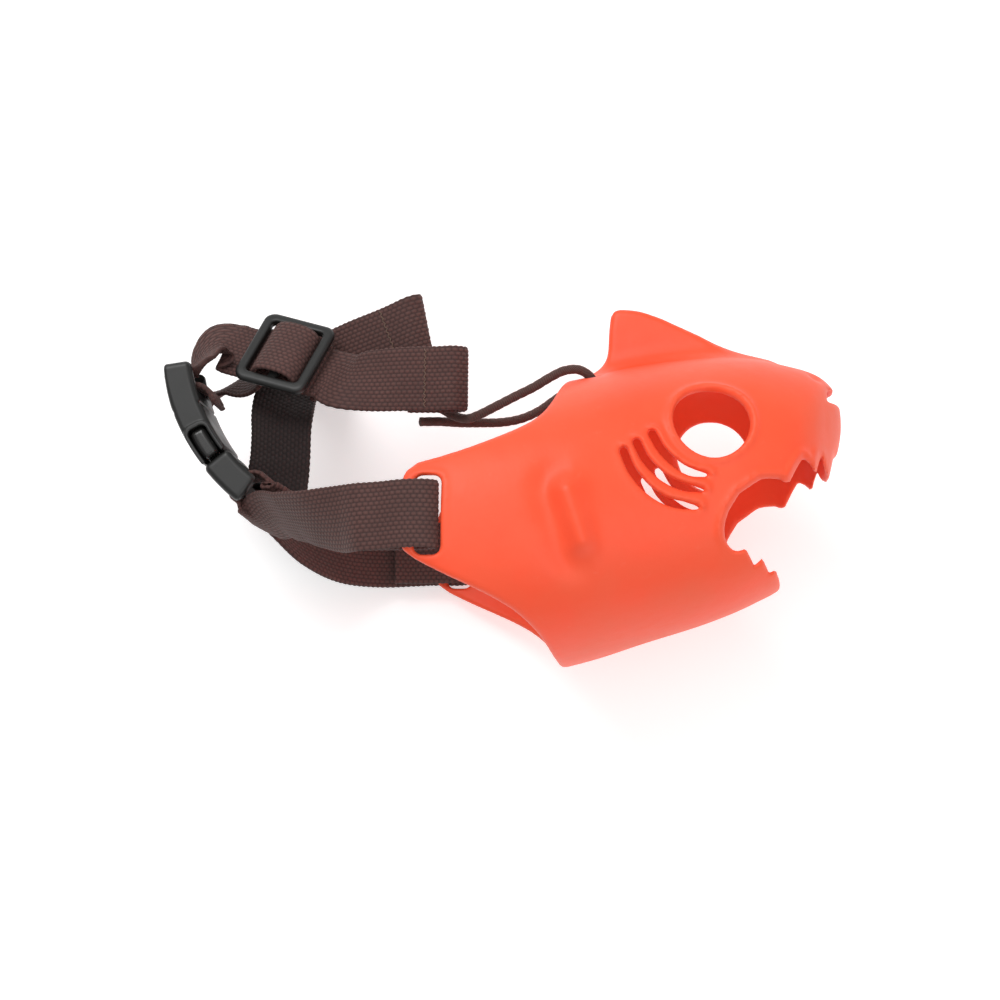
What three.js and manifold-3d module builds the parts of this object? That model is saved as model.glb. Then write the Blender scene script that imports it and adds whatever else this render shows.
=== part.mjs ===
// Shark-head dog muzzle: a soft moulded shell, webbing straps, a curved side-release buckle,
// a strap slider and a thin tie cord. It lies on its left cheek. Millimetres, +Z up.
// Before the last shift, X runs to the nose, Y to the fin, and the head's middle plane is at
// Z = MID_Z, so the two sides of the head are mirror images about that plane.
import * as THREE from "three";
import { mergeVertices } from "three/addons/utils/BufferGeometryUtils.js";
import Module from "manifold-3d";

const wasm = await Module();
wasm.setup();

// ---- driving dimensions ----
const MID_Z = 55; // height of the head's middle plane
const NOSE_X = 97.7; // front of the nose
const SPAN = 121; // nose to rear edge of the tabs
const REAR_X = NOSE_X - SPAN;
const WALL = 2.6; // moulded wall
const SECTION_POWER = 2.2; // 2 is an ellipse, more is squarer
const RINGS = 22;
const RING_POINTS = 40;
const SIDE_REACH = 70; // longer than half the head's width

const EYE_AT = [61, 17.9]; // centre of an eye hole in the side view
const EYE_RADIUS = 10.7;
const EYE_AXIS = [0.22, 0.36, 1]; // outward from the near eye
const GILL_WIDTH = 2.2;
const TAB_SLOT = { x0: -19.6, x1: -12.3, y0: -20.9, y1: 0.9 };
const CORD_HOLE = { x: 27.4, reach: 14.6, radius: 2.6 };
const NOSE_SLOT = { x: 93.4, y0: 26.6, y1: 30.4 };
const FIN_THICKNESS = 5;
const BUMP = { at: [24.2, -11.6], half: [5.2, 13, 4], reach: 46.6 };

const WEB_WIDTH = 18.6; // nominal 3/4 inch nylon webbing
const WEB_THICKNESS = 1.5;
const WEB_STEPS = 3; // steps between two stations of a strap
const CORD_DIAMETER = 2.6;

const ARC = { x: -35.8, y: 45.8 }; // centre of the curved buckle's arc
const BUCKLE_Z = 61; // middle of the buckle's width
const BUCKLE_HALF_WIDTH = 13.5;
const BUCKLE_R0 = 52.6; // hollow side of the curve
const BUCKLE_R1 = 61.4; // outer side of the curve

const SLIDER_AT = new THREE.Vector3(-62.1, 41.7, 63);
const SLIDER_ALONG = new THREE.Vector3(0.9438, -0.2767, 0.1818).normalize();
const SLIDER_ACROSS = new THREE.Vector3(0.3308, 0.812, -0.4812).normalize();

// ---- materials ----
const material = (color, roughness) =>
  new THREE.MeshStandardMaterial({ color, roughness, metalness: 0 });
const SILICONE = material(0xff5a35, 0.42);
const WEBBING = material(0x3b211d, 0.85);
const THREAD = material(0x8a6448, 0.8);
const PLASTIC = material(0x141412, 0.4);
const CORD = material(0x3a201c, 0.85);

// ---- geometry helpers ----
function solid(geometry) {
  const bare = new THREE.BufferGeometry();
  bare.setAttribute("position", geometry.getAttribute("position").clone());
  bare.setIndex(geometry.index);
  const merged = mergeVertices(bare, 1e-4);
  return new wasm.Manifold(
    new wasm.Mesh({
      numProp: 3,
      vertProperties: merged.attributes.position.array,
      triVerts: new Uint32Array(merged.index.array),
    }),
  );
}

function geometryOf(manifold) {
  const mesh = manifold.getMesh();
  const geometry = new THREE.BufferGeometry();
  geometry.setAttribute("position", new THREE.BufferAttribute(mesh.vertProperties, 3));
  geometry.setIndex(new THREE.BufferAttribute(mesh.triVerts, 1));
  return geometry;
}

// A side-view outline pushed along Z.
function prism(outline, z0, z1) {
  const shape = Array.isArray(outline)
    ? new THREE.Shape(outline.map(([x, y]) => new THREE.Vector2(x, y)))
    : outline;
  const geometry = new THREE.ExtrudeGeometry(shape, {
    depth: z1 - z0,
    bevelEnabled: false,
    curveSegments: 8,
  });
  return solid(geometry.translate(0, 0, z0));
}

// A smooth curve through [x, value] pairs.
function through(pairs, x) {
  const last = pairs.length - 1;
  const at = Math.min(Math.max(x, pairs[0][0]), pairs[last][0]);
  let i = 0;
  while (i < last - 1 && at > pairs[i + 1][0]) i += 1;
  const slope = (k) => {
    const [a, b] = [pairs[Math.max(k - 1, 0)], pairs[Math.min(k + 1, last)]];
    return (b[1] - a[1]) / (b[0] - a[0]);
  };
  const h = pairs[i + 1][0] - pairs[i][0];
  const t = (at - pairs[i][0]) / h;
  const ends = pairs[i][1] * (1 + 2 * t) * (1 - t) ** 2 + pairs[i + 1][1] * t * t * (3 - 2 * t);
  return ends + h * (slope(i) * t * (1 - t) ** 2 + slope(i + 1) * t * t * (t - 1));
}

// The points of a smooth curve through a few side-view points.
const curvePoints = (points, count) =>
  new THREE.SplineCurve(points.map(([x, y]) => new THREE.Vector2(x, y)))
    .getPoints(count)
    .map((p) => [p.x, p.y]);

// ---- muzzle shell ----
// Each row is x, top, bottom and half-width of the closed head before it is cut open.
const HEAD = [
  [97.7, 21.6, 21.6, 0],
  [96.5, 29.5, 12.9, 8.5],
  [93.4, 33.8, 2.5, 16.5],
  [89.5, 36.2, -9.5, 24],
  [82, 38.3, -23.6, 31.5],
  [73, 40, -29.4, 36],
  [60, 40.4, -35, 39],
  [42, 38.3, -40.8, 43.6],
  [25, 34.6, -46.3, 48.6],
  [8, 31, -50, 51.2],
  [REAR_X, 26, -53, 52.5],
];
const depthFromNose = (x) => Math.sqrt(Math.max(NOSE_X - x, 0) / SPAN);
const column = (k) => HEAD.map((row) => [depthFromNose(row[0]), row[k]]);
const [TOP, BOTTOM, HALF_WIDTH] = [column(1), column(2), column(3)];

// The head as one closed loft, drawn in by inset everywhere.
function loft(inset, rear) {
  const positions = [NOSE_X - inset, through(TOP, 0), MID_Z];
  for (let i = 1; i <= RINGS; i += 1) {
    const s = i / RINGS;
    const drawn = inset * Math.min(1, s / 0.25);
    const x = NOSE_X - SPAN * s * s - inset * (1 - s) - rear * (i === RINGS ? 1 : 0);
    const [top, bottom] = [through(TOP, s), through(BOTTOM, s)];
    const height = (top - bottom) / 2 - drawn;
    const width = through(HALF_WIDTH, s) - drawn;
    for (let j = 0; j < RING_POINTS; j += 1) {
      const angle = (2 * Math.PI * j) / RING_POINTS;
      const power = (v) => Math.sign(v) * Math.abs(v) ** (2 / SECTION_POWER);
      positions.push(x, (top + bottom) / 2 + height * power(Math.sin(angle)));
      positions.push(MID_Z + width * power(Math.cos(angle)));
    }
  }
  const middle = (through(TOP, 1) + through(BOTTOM, 1)) / 2;
  positions.push(REAR_X - rear, middle, MID_Z);
  const at = (i, j) => 1 + (i - 1) * RING_POINTS + (j % RING_POINTS);
  const faces = [];
  for (let j = 0; j < RING_POINTS; j += 1) {
    faces.push(0, at(1, j + 1), at(1, j));
    for (let i = 1; i < RINGS; i += 1) {
      faces.push(at(i, j), at(i, j + 1), at(i + 1, j + 1));
      faces.push(at(i, j), at(i + 1, j + 1), at(i + 1, j));
    }
    faces.push(at(RINGS, j), at(RINGS, j + 1), 1 + RINGS * RING_POINTS);
  }
  const geometry = new THREE.BufferGeometry();
  geometry.setAttribute("position", new THREE.Float32BufferAttribute(positions, 3));
  geometry.setIndex(faces);
  return solid(geometry);
}

// What the side view keeps: everything in front of the scooped rear edge.
function keptOutline() {
  const upper = curvePoints(
    [[-14, 6.2], [-4.4, 9.6], [7.1, 14.7], [13.2, 18.7], [16.4, 23.4], [18.4, 29.4],
      [20.4, 36], [26, 45]], 18);
  const lower = curvePoints(
    [[18.8, -49.5], [16.6, -46.2], [13.3, -41], [7.5, -35.6], [-0.2, -31.2], [-11.6, -26],
      [-18.5, -22.6], [-22.6, -19.8]], 14);
  const tab = [[-23.2, -16], [-23.3, -6], [-23.2, -0.5], [-22.2, 2.2], [-19, 4.8]];
  return [...lower, ...tab, ...upper, [26, 75], [120, 75], [120, -75], [19.5, -75]];
}

// The open mouth in the side view, with two upper teeth, the front tooth and three lower ones.
function mouthOutline() {
  const corner = curvePoints(
    [[68.4, -2.6], [65.6, -7.6], [64.6, -12], [65.4, -15.6], [67.2, -17.6], [69, -17.4]], 10);
  const lower = [[70.3, -16.6], [73.2, -20.9], [75.1, -18.9], [77.2, -22.6], [78.8, -21.2],
    [80.2, -24.6], [84, -27], [110, -27], [110, 13]];
  const upper = [[95.6, 12.4], [94.6, 4.6], [92.6, 7.4], [91.6, 10.6], [89.9, 5.4], [86.8, 9],
    [84.4, 6.4], [82, 0.8], [79.4, 1.2], [74, 2.2]];
  return [...corner, ...lower, ...upper];
}

function finOutline() {
  const back = curvePoints([[26, 33], [29.4, 37.4], [30.8, 42], [31.2, 49], [31.6, 53.4]], 8);
  const tip = curvePoints([[32.6, 55], [34.6, 55.6], [40.1, 55], [46, 53]], 6);
  const front = curvePoints([[57.4, 47.6], [67.5, 41.8], [76, 38]], 5);
  return [...back, ...tip, ...front];
}

function fin() {
  const bevel = 1.6;
  const shape = new THREE.Shape(finOutline().map(([x, y]) => new THREE.Vector2(x, y)));
  const geometry = new THREE.ExtrudeGeometry(shape, {
    depth: FIN_THICKNESS - 2 * bevel,
    bevelThickness: bevel,
    bevelSize: bevel * 0.7,
    bevelOffset: -bevel * 0.7,
    bevelSegments: 2,
  });
  return solid(geometry.translate(0, 0, MID_Z - FIN_THICKNESS / 2 + bevel));
}

// One gill slot: a band of even width along a curve in the side view.
function gillOutline(points) {
  const curve = new THREE.SplineCurve(points.map(([x, y]) => new THREE.Vector2(x, y)));
  const side = (offset) =>
    Array.from({ length: 9 }, (_, i) => {
      const [p, t] = [curve.getPoint(i / 8), curve.getTangent(i / 8)];
      return [p.x - t.y * offset, p.y + t.x * offset];
    });
  return [...side(-GILL_WIDTH / 2), ...side(GILL_WIDTH / 2).reverse()];
}
const GILLS = [
  [[44.6, 13.6], [47.4, 8.8], [51.4, 5], [55.2, 3], [59.4, 2.3]],
  [[40.4, 11], [43, 6], [47.4, 1.6], [52.4, -0.9], [58.2, -2]],
  [[36.9, 8.4], [39.2, 3], [43.4, -2], [49, -5.3], [56.8, -6.7]],
];

function turnedCylinder(radius, length, centre, axis) {
  const geometry = new THREE.CylinderGeometry(radius, radius, length, 28);
  const turn = new THREE.Quaternion().setFromUnitVectors(
    new THREE.Vector3(0, 1, 0),
    new THREE.Vector3(...axis).normalize(),
  );
  return solid(geometry.applyQuaternion(turn).translate(...centre));
}

function cheekBump(side) {
  const geometry = new THREE.SphereGeometry(1, 20, 12);
  geometry.scale(...BUMP.half);
  return solid(geometry.translate(...BUMP.at, MID_Z + side * BUMP.reach));
}

function muzzleShell() {
  const low = MID_Z - SIDE_REACH;
  const high = MID_Z + SIDE_REACH;
  let shell = loft(0, 3).add(fin()).add(cheekBump(1)).add(cheekBump(-1));
  shell = shell.subtract(loft(WALL, 12));
  shell = shell.intersect(prism(keptOutline(), low, high));
  shell = shell.subtract(prism(mouthOutline(), low, high));
  for (const gill of GILLS) shell = shell.subtract(prism(gillOutline(gill), low, high));
  const { x0, x1, y0, y1 } = TAB_SLOT;
  const slot = new THREE.Shape();
  slot.moveTo(x0 + 2, y0).lineTo(x1 - 2, y0).quadraticCurveTo(x1, y0, x1, y0 + 2);
  slot.lineTo(x1, y1 - 2).quadraticCurveTo(x1, y1, x1 - 2, y1).lineTo(x0 + 2, y1);
  slot.quadraticCurveTo(x0, y1, x0, y1 - 2).lineTo(x0, y0 + 2);
  slot.quadraticCurveTo(x0, y0, x0 + 2, y0);
  shell = shell.subtract(prism(slot, low, high));
  const nose = [[NOSE_SLOT.x, NOSE_SLOT.y0], [110, NOSE_SLOT.y0 + 1.6],
    [110, NOSE_SLOT.y1 + 1.2], [NOSE_SLOT.x, NOSE_SLOT.y1]];
  shell = shell.subtract(prism(nose, low, high));
  for (const side of [-1, 1]) {
    const [ax, ay, az] = EYE_AXIS;
    const eye = [EYE_AT[0], EYE_AT[1], MID_Z + side * 36];
    shell = shell.subtract(turnedCylinder(EYE_RADIUS, 26, eye, [ax, ay, side * az]));
    const hole = [CORD_HOLE.x, 34, MID_Z + side * CORD_HOLE.reach];
    shell = shell.subtract(turnedCylinder(CORD_HOLE.radius, 14, hole, [0, 1, 0]));
  }
  return geometryOf(shell);
}

// ---- webbing ----
// A flat strap swept through stations: centre x, y, z and the direction of its width.
function strapFrames(stations, steps) {
  const centre = new THREE.CatmullRomCurve3(
    stations.map(([x, y, z]) => new THREE.Vector3(x, y, z)), false, "centripetal");
  const across = new THREE.CatmullRomCurve3(
    stations.map((s) => new THREE.Vector3(s[3], s[4], s[5])), false, "catmullrom", 0.5);
  const count = (stations.length - 1) * steps;
  return Array.from({ length: count + 1 }, (_, i) => {
    const t = i / count;
    const e = 1e-3;
    const point = centre.getPoint(t);
    const along = centre.getPoint(Math.min(t + e, 1)).sub(centre.getPoint(Math.max(t - e, 0)));
    along.normalize();
    const wide = across.getPoint(t);
    wide.addScaledVector(along, -wide.dot(along)).normalize();
    return { point, along, wide, face: new THREE.Vector3().crossVectors(along, wide) };
  });
}

function strap(stations, width = WEB_WIDTH, thickness = WEB_THICKNESS) {
  const frames = strapFrames(stations, WEB_STEPS);
  const corners = [[1, 1], [-1, 1], [-1, -1], [1, -1]];
  const positions = [];
  for (const { point, wide, face } of frames)
    for (const [a, b] of corners) {
      const corner = point.clone().addScaledVector(wide, (a * width) / 2);
      corner.addScaledVector(face, (b * thickness) / 2);
      positions.push(corner.x, corner.y, corner.z);
    }
  const faces = [0, 2, 1, 0, 3, 2];
  for (let i = 0; i + 1 < frames.length; i += 1)
    for (let k = 0; k < 4; k += 1) {
      const [a, b] = [4 * i + k, 4 * i + ((k + 1) % 4)];
      faces.push(a, b, b + 4, a, b + 4, a + 4);
    }
  const end = 4 * (frames.length - 1);
  faces.push(end, end + 1, end + 2, end, end + 2, end + 3);
  const geometry = new THREE.BufferGeometry();
  geometry.setAttribute("position", new THREE.Float32BufferAttribute(positions, 3));
  geometry.setIndex(faces);
  return geometry;
}

// A point of the buckle's arc: angle in degrees, radius, height.
function arcPoint(degrees, radius, z = BUCKLE_Z) {
  const angle = THREE.MathUtils.degToRad(degrees);
  return [ARC.x + radius * Math.cos(angle), ARC.y + radius * Math.sin(angle), z];
}
const onSlider = (along, across, out) =>
  SLIDER_AT.clone()
    .addScaledVector(SLIDER_ALONG, along)
    .addScaledVector(SLIDER_ACROSS, across)
    .addScaledVector(sliderOut(), out)
    .toArray();
const sliderOut = () => new THREE.Vector3().crossVectors(SLIDER_ALONG, SLIDER_ACROSS);
const SLIDER_WIDE = SLIDER_ACROSS.toArray();

const UP = [0, 1, 0];
const NEAR = [0, 0, 1];
const FAR = [0, 0, -1];
const NEAR_TAB_Z = MID_Z + 51.2; // middle of the near tab's wall
const FAR_TAB_Z = MID_Z - 51.2;

// Loop round the near tab's rear bar, then along the side to the junction and round the bar
// of the buckle's lower half.
const SIDE_STRAP_NEAR = [
  [-35.5, -10.4, NEAR_TAB_Z - 2.6, ...UP],
  [-30, -10.3, NEAR_TAB_Z - 3, ...UP],
  [-24, -10.1, NEAR_TAB_Z - 4.1, ...UP],
  [-16.4, -10, NEAR_TAB_Z - 3.9, ...UP],
  [-13.6, -10, NEAR_TAB_Z, ...UP],
  [-16.4, -10, NEAR_TAB_Z + 2.7, ...UP],
  [-22.5, -10.1, NEAR_TAB_Z + 2.8, ...UP],
  [-29, -10.5, NEAR_TAB_Z + 0.8, ...UP],
  [-35, -10.8, NEAR_TAB_Z - 0.4, 0, 0.99, 0.05],
  [-40.8, -10.8, NEAR_TAB_Z - 6, 0, 0.92, 0.38],
  [-50, -9.8, 91, -0.06, 0.66, 0.75],
  [-57, -8, 81, -0.15, 0.5, 0.85],
  [-63.4, -6.2, 70, -0.2, 0.5, 0.84],
  [-67.6, -7, 63, -0.08, 0.34, 0.93],
  [...arcPoint(234.6, 63, 61), ...NEAR],
  [...arcPoint(231.4, 61.1), ...NEAR],
  [...arcPoint(229, 61), ...NEAR],
  [...arcPoint(227.3, 58.8), ...NEAR],
  [...arcPoint(227.1, 56), ...NEAR],
  [...arcPoint(228.2, 53.2), ...NEAR],
  [...arcPoint(230.8, 51.2), ...NEAR],
  [...arcPoint(234.4, 51.4), ...NEAR],
  [...arcPoint(238.6, 54.2, 62), 0, 0.15, 0.99],
  [-59.6, -1.8, 66, -0.1, 0.3, 0.95],
  [-56, -1.4, 70, -0.2, 0.4, 0.9],
];

// Loop round the far tab's rear bar, past the deep side of the buckle, up under the slider.
const SIDE_STRAP_FAR = [
  [-35.5, -10.6, FAR_TAB_Z + 5.4, ...UP],
  [-30, -10.5, FAR_TAB_Z + 4, ...UP],
  [-24, -10.4, FAR_TAB_Z + 4.1, ...UP],
  [-16.4, -10.3, FAR_TAB_Z + 3.9, ...UP],
  [-13.6, -10.3, FAR_TAB_Z, ...UP],
  [-16.4, -10.4, FAR_TAB_Z - 2.8, ...UP],
  [-19.4, -10.4, FAR_TAB_Z - 2.8, ...UP],
  [-22.4, -10.4, FAR_TAB_Z - 2.8, ...UP],
  [-25.4, -10.4, FAR_TAB_Z - 2.8, ...UP],
  [-30, -10.8, FAR_TAB_Z - 0.9, ...UP],
  [-40, -11.6, FAR_TAB_Z + 3.8, ...UP],
  [-51, -11.4, 16, 0, 0.97, -0.2],
  [-61, -8.6, 26, 0, 0.8, -0.6],
  [-69, -3.6, 33.5, 0, 0.5, -0.87],
  [...arcPoint(225, 61, 36), ...FAR],
  [...arcPoint(213, 61, 36.6), ...FAR],
  [...arcPoint(201.5, 60, 36.8), ...FAR],
  [-89.6, 32.6, 36.8, 0.1, 0.1, -0.99],
  [-84, 34.8, 38.4, 0.2, 0.3, -0.93],
  [-77.6, 37.4, 42.6, 0.3, 0.5, -0.8],
  [-71.8, 38.4, 49.6, ...SLIDER_WIDE],
  [...onSlider(-5.5, 0, -7.4), ...SLIDER_WIDE],
];

// From its sewn end round the bar of the buckle's upper half and on towards the slider.
const BUCKLE_LOOP = [
  [...arcPoint(202.4, 49.6), ...FAR],
  [...arcPoint(198.6, 50), ...FAR],
  [...arcPoint(195.8, 52), ...FAR],
  [...arcPoint(194.8, 55.2), ...FAR],
  [...arcPoint(194.5, 58.2), ...FAR],
  [...arcPoint(193, 60.3), ...FAR],
  [...arcPoint(190.8, 60.5), ...FAR],
  [...arcPoint(189.1, 58.4), ...FAR],
  [...arcPoint(188.9, 55.8), ...FAR],
  [...arcPoint(189.4, 53), -0.05, 0.1, -0.99],
  [-86.4, 39.6, 60.2, -0.2, 0.36, -0.91],
  [-84.6, 43.2, 58.2, -0.1, 0.58, -0.81],
  [-81.8, 45.4, 56.6, 0.14, 0.74, -0.66],
  [...onSlider(-17.6, 0, -4.1), ...SLIDER_WIDE],
];

// On under the slider to the fold that holds the cord.
const HEAD_STRAP_FRONT = [
  [...onSlider(-15.4, 0, -4.3), ...SLIDER_WIDE],
  [...onSlider(-9, 0, -4.3), ...SLIDER_WIDE],
  [...onSlider(0, 0, -4.3), ...SLIDER_WIDE],
  [...onSlider(8, 0, -4.3), ...SLIDER_WIDE],
  [...onSlider(14.4, 0, -4.3), ...SLIDER_WIDE],
  [-43.4, 33.2, 65.8, 0.25, 0.9, -0.35],
  [-36.5, 33, 67.8, 0.15, 0.97, -0.15],
  [-27, 33.1, 69.7, 0.06, 1, -0.03],
  [-18, 33.1, 70.6, 0.02, 1, 0],
  [-12.2, 33.2, 71.2, ...UP],
  [-9.2, 33.2, 68.6, ...UP],
  [-12.2, 33.2, 65.8, ...UP],
  [-18, 33.1, 66.4, ...UP],
  [-26, 33, 67.2, 0.04, 1, 0],
];

// From the junction up behind the slider, then down on to the table.
const HEAD_STRAP_REAR = [
  [-61.8, 11.8, 61, -0.87, -0.26, -0.42],
  [-63.2, 16, 57.6, -0.9, 0.0, -0.36],
  [-64.4, 22.6, 52.2, -0.96, 0.14, -0.2],
  [-64.4, 31, 46.6, -0.98, 0.2, -0.1],
  [-63, 38.4, 40, -0.98, 0.15, -0.05],
  [-62, 42, 31, -0.99, 0.1, 0],
  [-61.2, 42.6, 20, -0.99, 0.1, 0],
  [-61, 42.8, 9.5, -0.99, 0.1, 0],
  [-60.9, 44.6, 3.4, -0.99, 0.1, 0],
  [-60.8, 48.6, 1.2, -0.99, 0.1, 0],
  [-60.7, 54.6, 0.95, -0.99, 0.1, 0],
];

// The spare end, folded over and hemmed.
const STRAP_TAIL = [
  [-58.6, 38.8, 48.9, -0.3, 0.95, -0.1],
  [-50, 41.4, 51, -0.3, 0.95, -0.1],
  [-41, 44.4, 54, -0.27, 0.96, 0],
  [-32.4, 47.4, 56, -0.23, 0.97, 0],
  [-25, 50.5, 56.8, -0.2, 0.98, 0],
  [-22.4, 51.5, 55, -0.2, 0.98, 0],
  [-25, 50.5, 53.2, -0.2, 0.98, 0],
  [-34, 46.8, 52.8, -0.23, 0.97, 0],
];

// The piece of strap seen in the slider's window, humped over its centre bar.
const SLIDER_BRIDGE = [
  [-11, -2.5], [-8.6, -2.55], [-6.9, -1.7], [-6.2, 0.2], [-4.8, 2], [-2.5, 2.9], [0, 3.1],
  [2.5, 2.9], [4.8, 2], [6.2, 0.2], [6.9, -1.7], [8.6, -2.55], [11, -2.5],
].map(([along, out]) => [...onSlider(along, 0, out), ...SLIDER_WIDE]);

// A row of stitching across a strap, on its outer face.
function stitchRow(stations, share, side, length) {
  const frames = strapFrames(stations, 20);
  const { point, wide, face } = frames[Math.round(share * (frames.length - 1))];
  const geometry = new THREE.BoxGeometry(length, 0.7, 0.4);
  const turn = new THREE.Matrix4().makeBasis(wide, face.clone().cross(wide), face);
  const lift = side * (WEB_THICKNESS / 2 + 0.45);
  geometry.applyMatrix4(turn);
  const at = point.clone().addScaledVector(face, lift);
  return geometry.translate(at.x, at.y, at.z);
}

// ---- buckle ----
// A curved block of the buckle: between two angles, two radii and two heights from its middle.
function arcBlock(a0, a1, r0, r1, z0, z1) {
  const [from, to] = [a0, a1].map(THREE.MathUtils.degToRad);
  const shape = new THREE.Shape();
  shape.absarc(ARC.x, ARC.y, r1, from, to, false);
  shape.absarc(ARC.x, ARC.y, r0, to, from, true);
  return prism(shape, BUCKLE_Z + z0, BUCKLE_Z + z1);
}

const STRAP_BAR = { r0: 55.4, r1: 59, half: 10.1 };

// The end of either half: a bar for the webbing, set back between two side cheeks.
function cutStrapEnd(block, outer, barOuter, barInner, slotInner) {
  const { r0, r1, half } = STRAP_BAR;
  const sort = (a, b) => [Math.min(a, b), Math.max(a, b)];
  const through0 = sort(barInner, slotInner);
  const beyond = sort(outer, barOuter);
  const thin = sort(outer, slotInner);
  return block
    .subtract(arcBlock(...through0, 40, 70, -half, half))
    .subtract(arcBlock(...beyond, 40, 70, -half, half))
    .subtract(arcBlock(...thin, 40, r0, -half, half))
    .subtract(arcBlock(...thin, r1, 70, -half, half));
}

function buckleFemale() {
  let half = arcBlock(188.4, 218.5, BUCKLE_R0, BUCKLE_R1, -BUCKLE_HALF_WIDTH, BUCKLE_HALF_WIDTH);
  half = half.subtract(arcBlock(199, 220, 54.7, 59.5, -11.8, 11.8));
  for (const side of [-1, 1]) {
    const z = [side * 11.5, side * 15].sort((a, b) => a - b);
    half = half.subtract(arcBlock(207.4, 220, 54.7, 59.5, ...z));
  }
  return geometryOf(cutStrapEnd(half, 187.4, 190.4, 192.8, 196.8));
}

function buckleMale() {
  let half = arcBlock(219, 232.4, BUCKLE_R0, BUCKLE_R1, -BUCKLE_HALF_WIDTH, BUCKLE_HALF_WIDTH);
  half = cutStrapEnd(half, 233.4, 231.2, 229, 225.6);
  half = half.add(arcBlock(202.4, 219.5, 55.3, 58.9, -2.6, 2.6));
  return geometryOf(half);
}

function buckleArm(side) {
  const z = (a, b) => [side * a, side * b].sort((p, q) => p - q);
  return geometryOf(
    arcBlock(202.6, 218.6, 55.2, 59, ...z(7.4, 9.8))
      .add(arcBlock(208, 217.8, 55.2, 59, ...z(9.6, 13.2)))
      .add(arcBlock(202.6, 206.6, 55.2, 59, ...z(9.6, 11.2))),
  );
}

// ---- slider ----
const SLIDER = { length: 22.2, width: 26, corner: 3.6, thickness: 2.8, window: 16.2, slot: 19.8 };

function roundedRectangle(target, length, width, corner) {
  const [x, y] = [length / 2, width / 2];
  target.moveTo(-x + corner, -y).lineTo(x - corner, -y).quadraticCurveTo(x, -y, x, -y + corner);
  target.lineTo(x, y - corner).quadraticCurveTo(x, y, x - corner, y).lineTo(-x + corner, y);
  target.quadraticCurveTo(-x, y, -x, y - corner).lineTo(-x, -y + corner);
  target.quadraticCurveTo(-x, -y, -x + corner, -y);
  return target;
}

function sliderFrame() {
  const { length, width, corner, thickness, window, slot } = SLIDER;
  const plate = roundedRectangle(new THREE.Shape(), length, width, corner);
  const hole = roundedRectangle(new THREE.Shape(), window, slot, 1.2);
  let frame = prism(plate, -thickness / 2, thickness / 2).subtract(prism(hole, -5, 5));
  const bar = [[-1.4, -10.6], [1.4, -10.6], [1.4, 10.6], [-1.4, 10.6]];
  frame = frame.add(prism(bar, -thickness / 2, 0.9));
  const geometry = geometryOf(frame);
  const turn = new THREE.Matrix4().makeBasis(SLIDER_ALONG, SLIDER_ACROSS, sliderOut());
  return geometry.applyMatrix4(turn).translate(...SLIDER_AT.toArray());
}

// ---- cord ----
// From its cut end, along under the strap fold, over the rear rim, down the far hole, across
// inside, up the near hole, back over the rim and in behind the strap, where it is sewn down.
const CORD_ROUTE = [
  [-22.6, 21.6, 64], [-17.2, 22, 61.6], [-11.5, 22.2, 57.8], [-6, 22.8, 53.6],
  [0, 23.6, 49.4], [5.4, 25.2, 46], [10.4, 28, 43], [14.6, 31.4, 40.9], [18.2, 34, 40],
  [20.8, 35.3, 39.7], [23.6, 35.5, 39.7], [26, 34.5, 40], [27.7, 32.5, 40.7],
  [28.4, 30, 41.8], [28.7, 26.6, 44], [28.8, 23.6, 48],
  [28.8, 22.6, 53], [28.8, 22.6, 57], [28.8, 23.6, 62], [28.6, 26.4, 66], [28, 30.2, 68.4],
  [26.4, 33.6, 69.6], [23.2, 35.4, 70.8], [19.2, 35, 71.8], [15, 32.8, 72.8], [10.8, 30.2, 73],
  [5, 27.4, 72.4], [-0.6, 24.8, 70.8], [-5, 23, 68.6], [-8.8, 22.2, 65.8], [-12.4, 23.2, 63.4],
  [-16.6, 25.6, 62.8], [-21.4, 28.6, 63.4],
];
const CORD_STEPS = 76;

function cord() {
  const path = new THREE.CatmullRomCurve3(
    CORD_ROUTE.map(([x, y, z]) => new THREE.Vector3(x, y, z)), false, "centripetal");
  const section = new THREE.Shape();
  for (let k = 0; k < 8; k += 1) {
    const angle = (Math.PI * (2 * k + 1)) / 8;
    const point = [Math.cos(angle), Math.sin(angle)].map((v) => (v * CORD_DIAMETER) / 2);
    if (k === 0) section.moveTo(...point);
    else section.lineTo(...point);
  }
  section.closePath();
  return new THREE.ExtrudeGeometry(section, {
    steps: CORD_STEPS,
    extrudePath: path,
    bevelEnabled: false,
  });
}

// ---- assembly ----
const muzzle = new THREE.Group();
function piece(name, geometry, look) {
  const mesh = new THREE.Mesh(geometry, look);
  mesh.name = name;
  muzzle.add(mesh);
}

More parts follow.
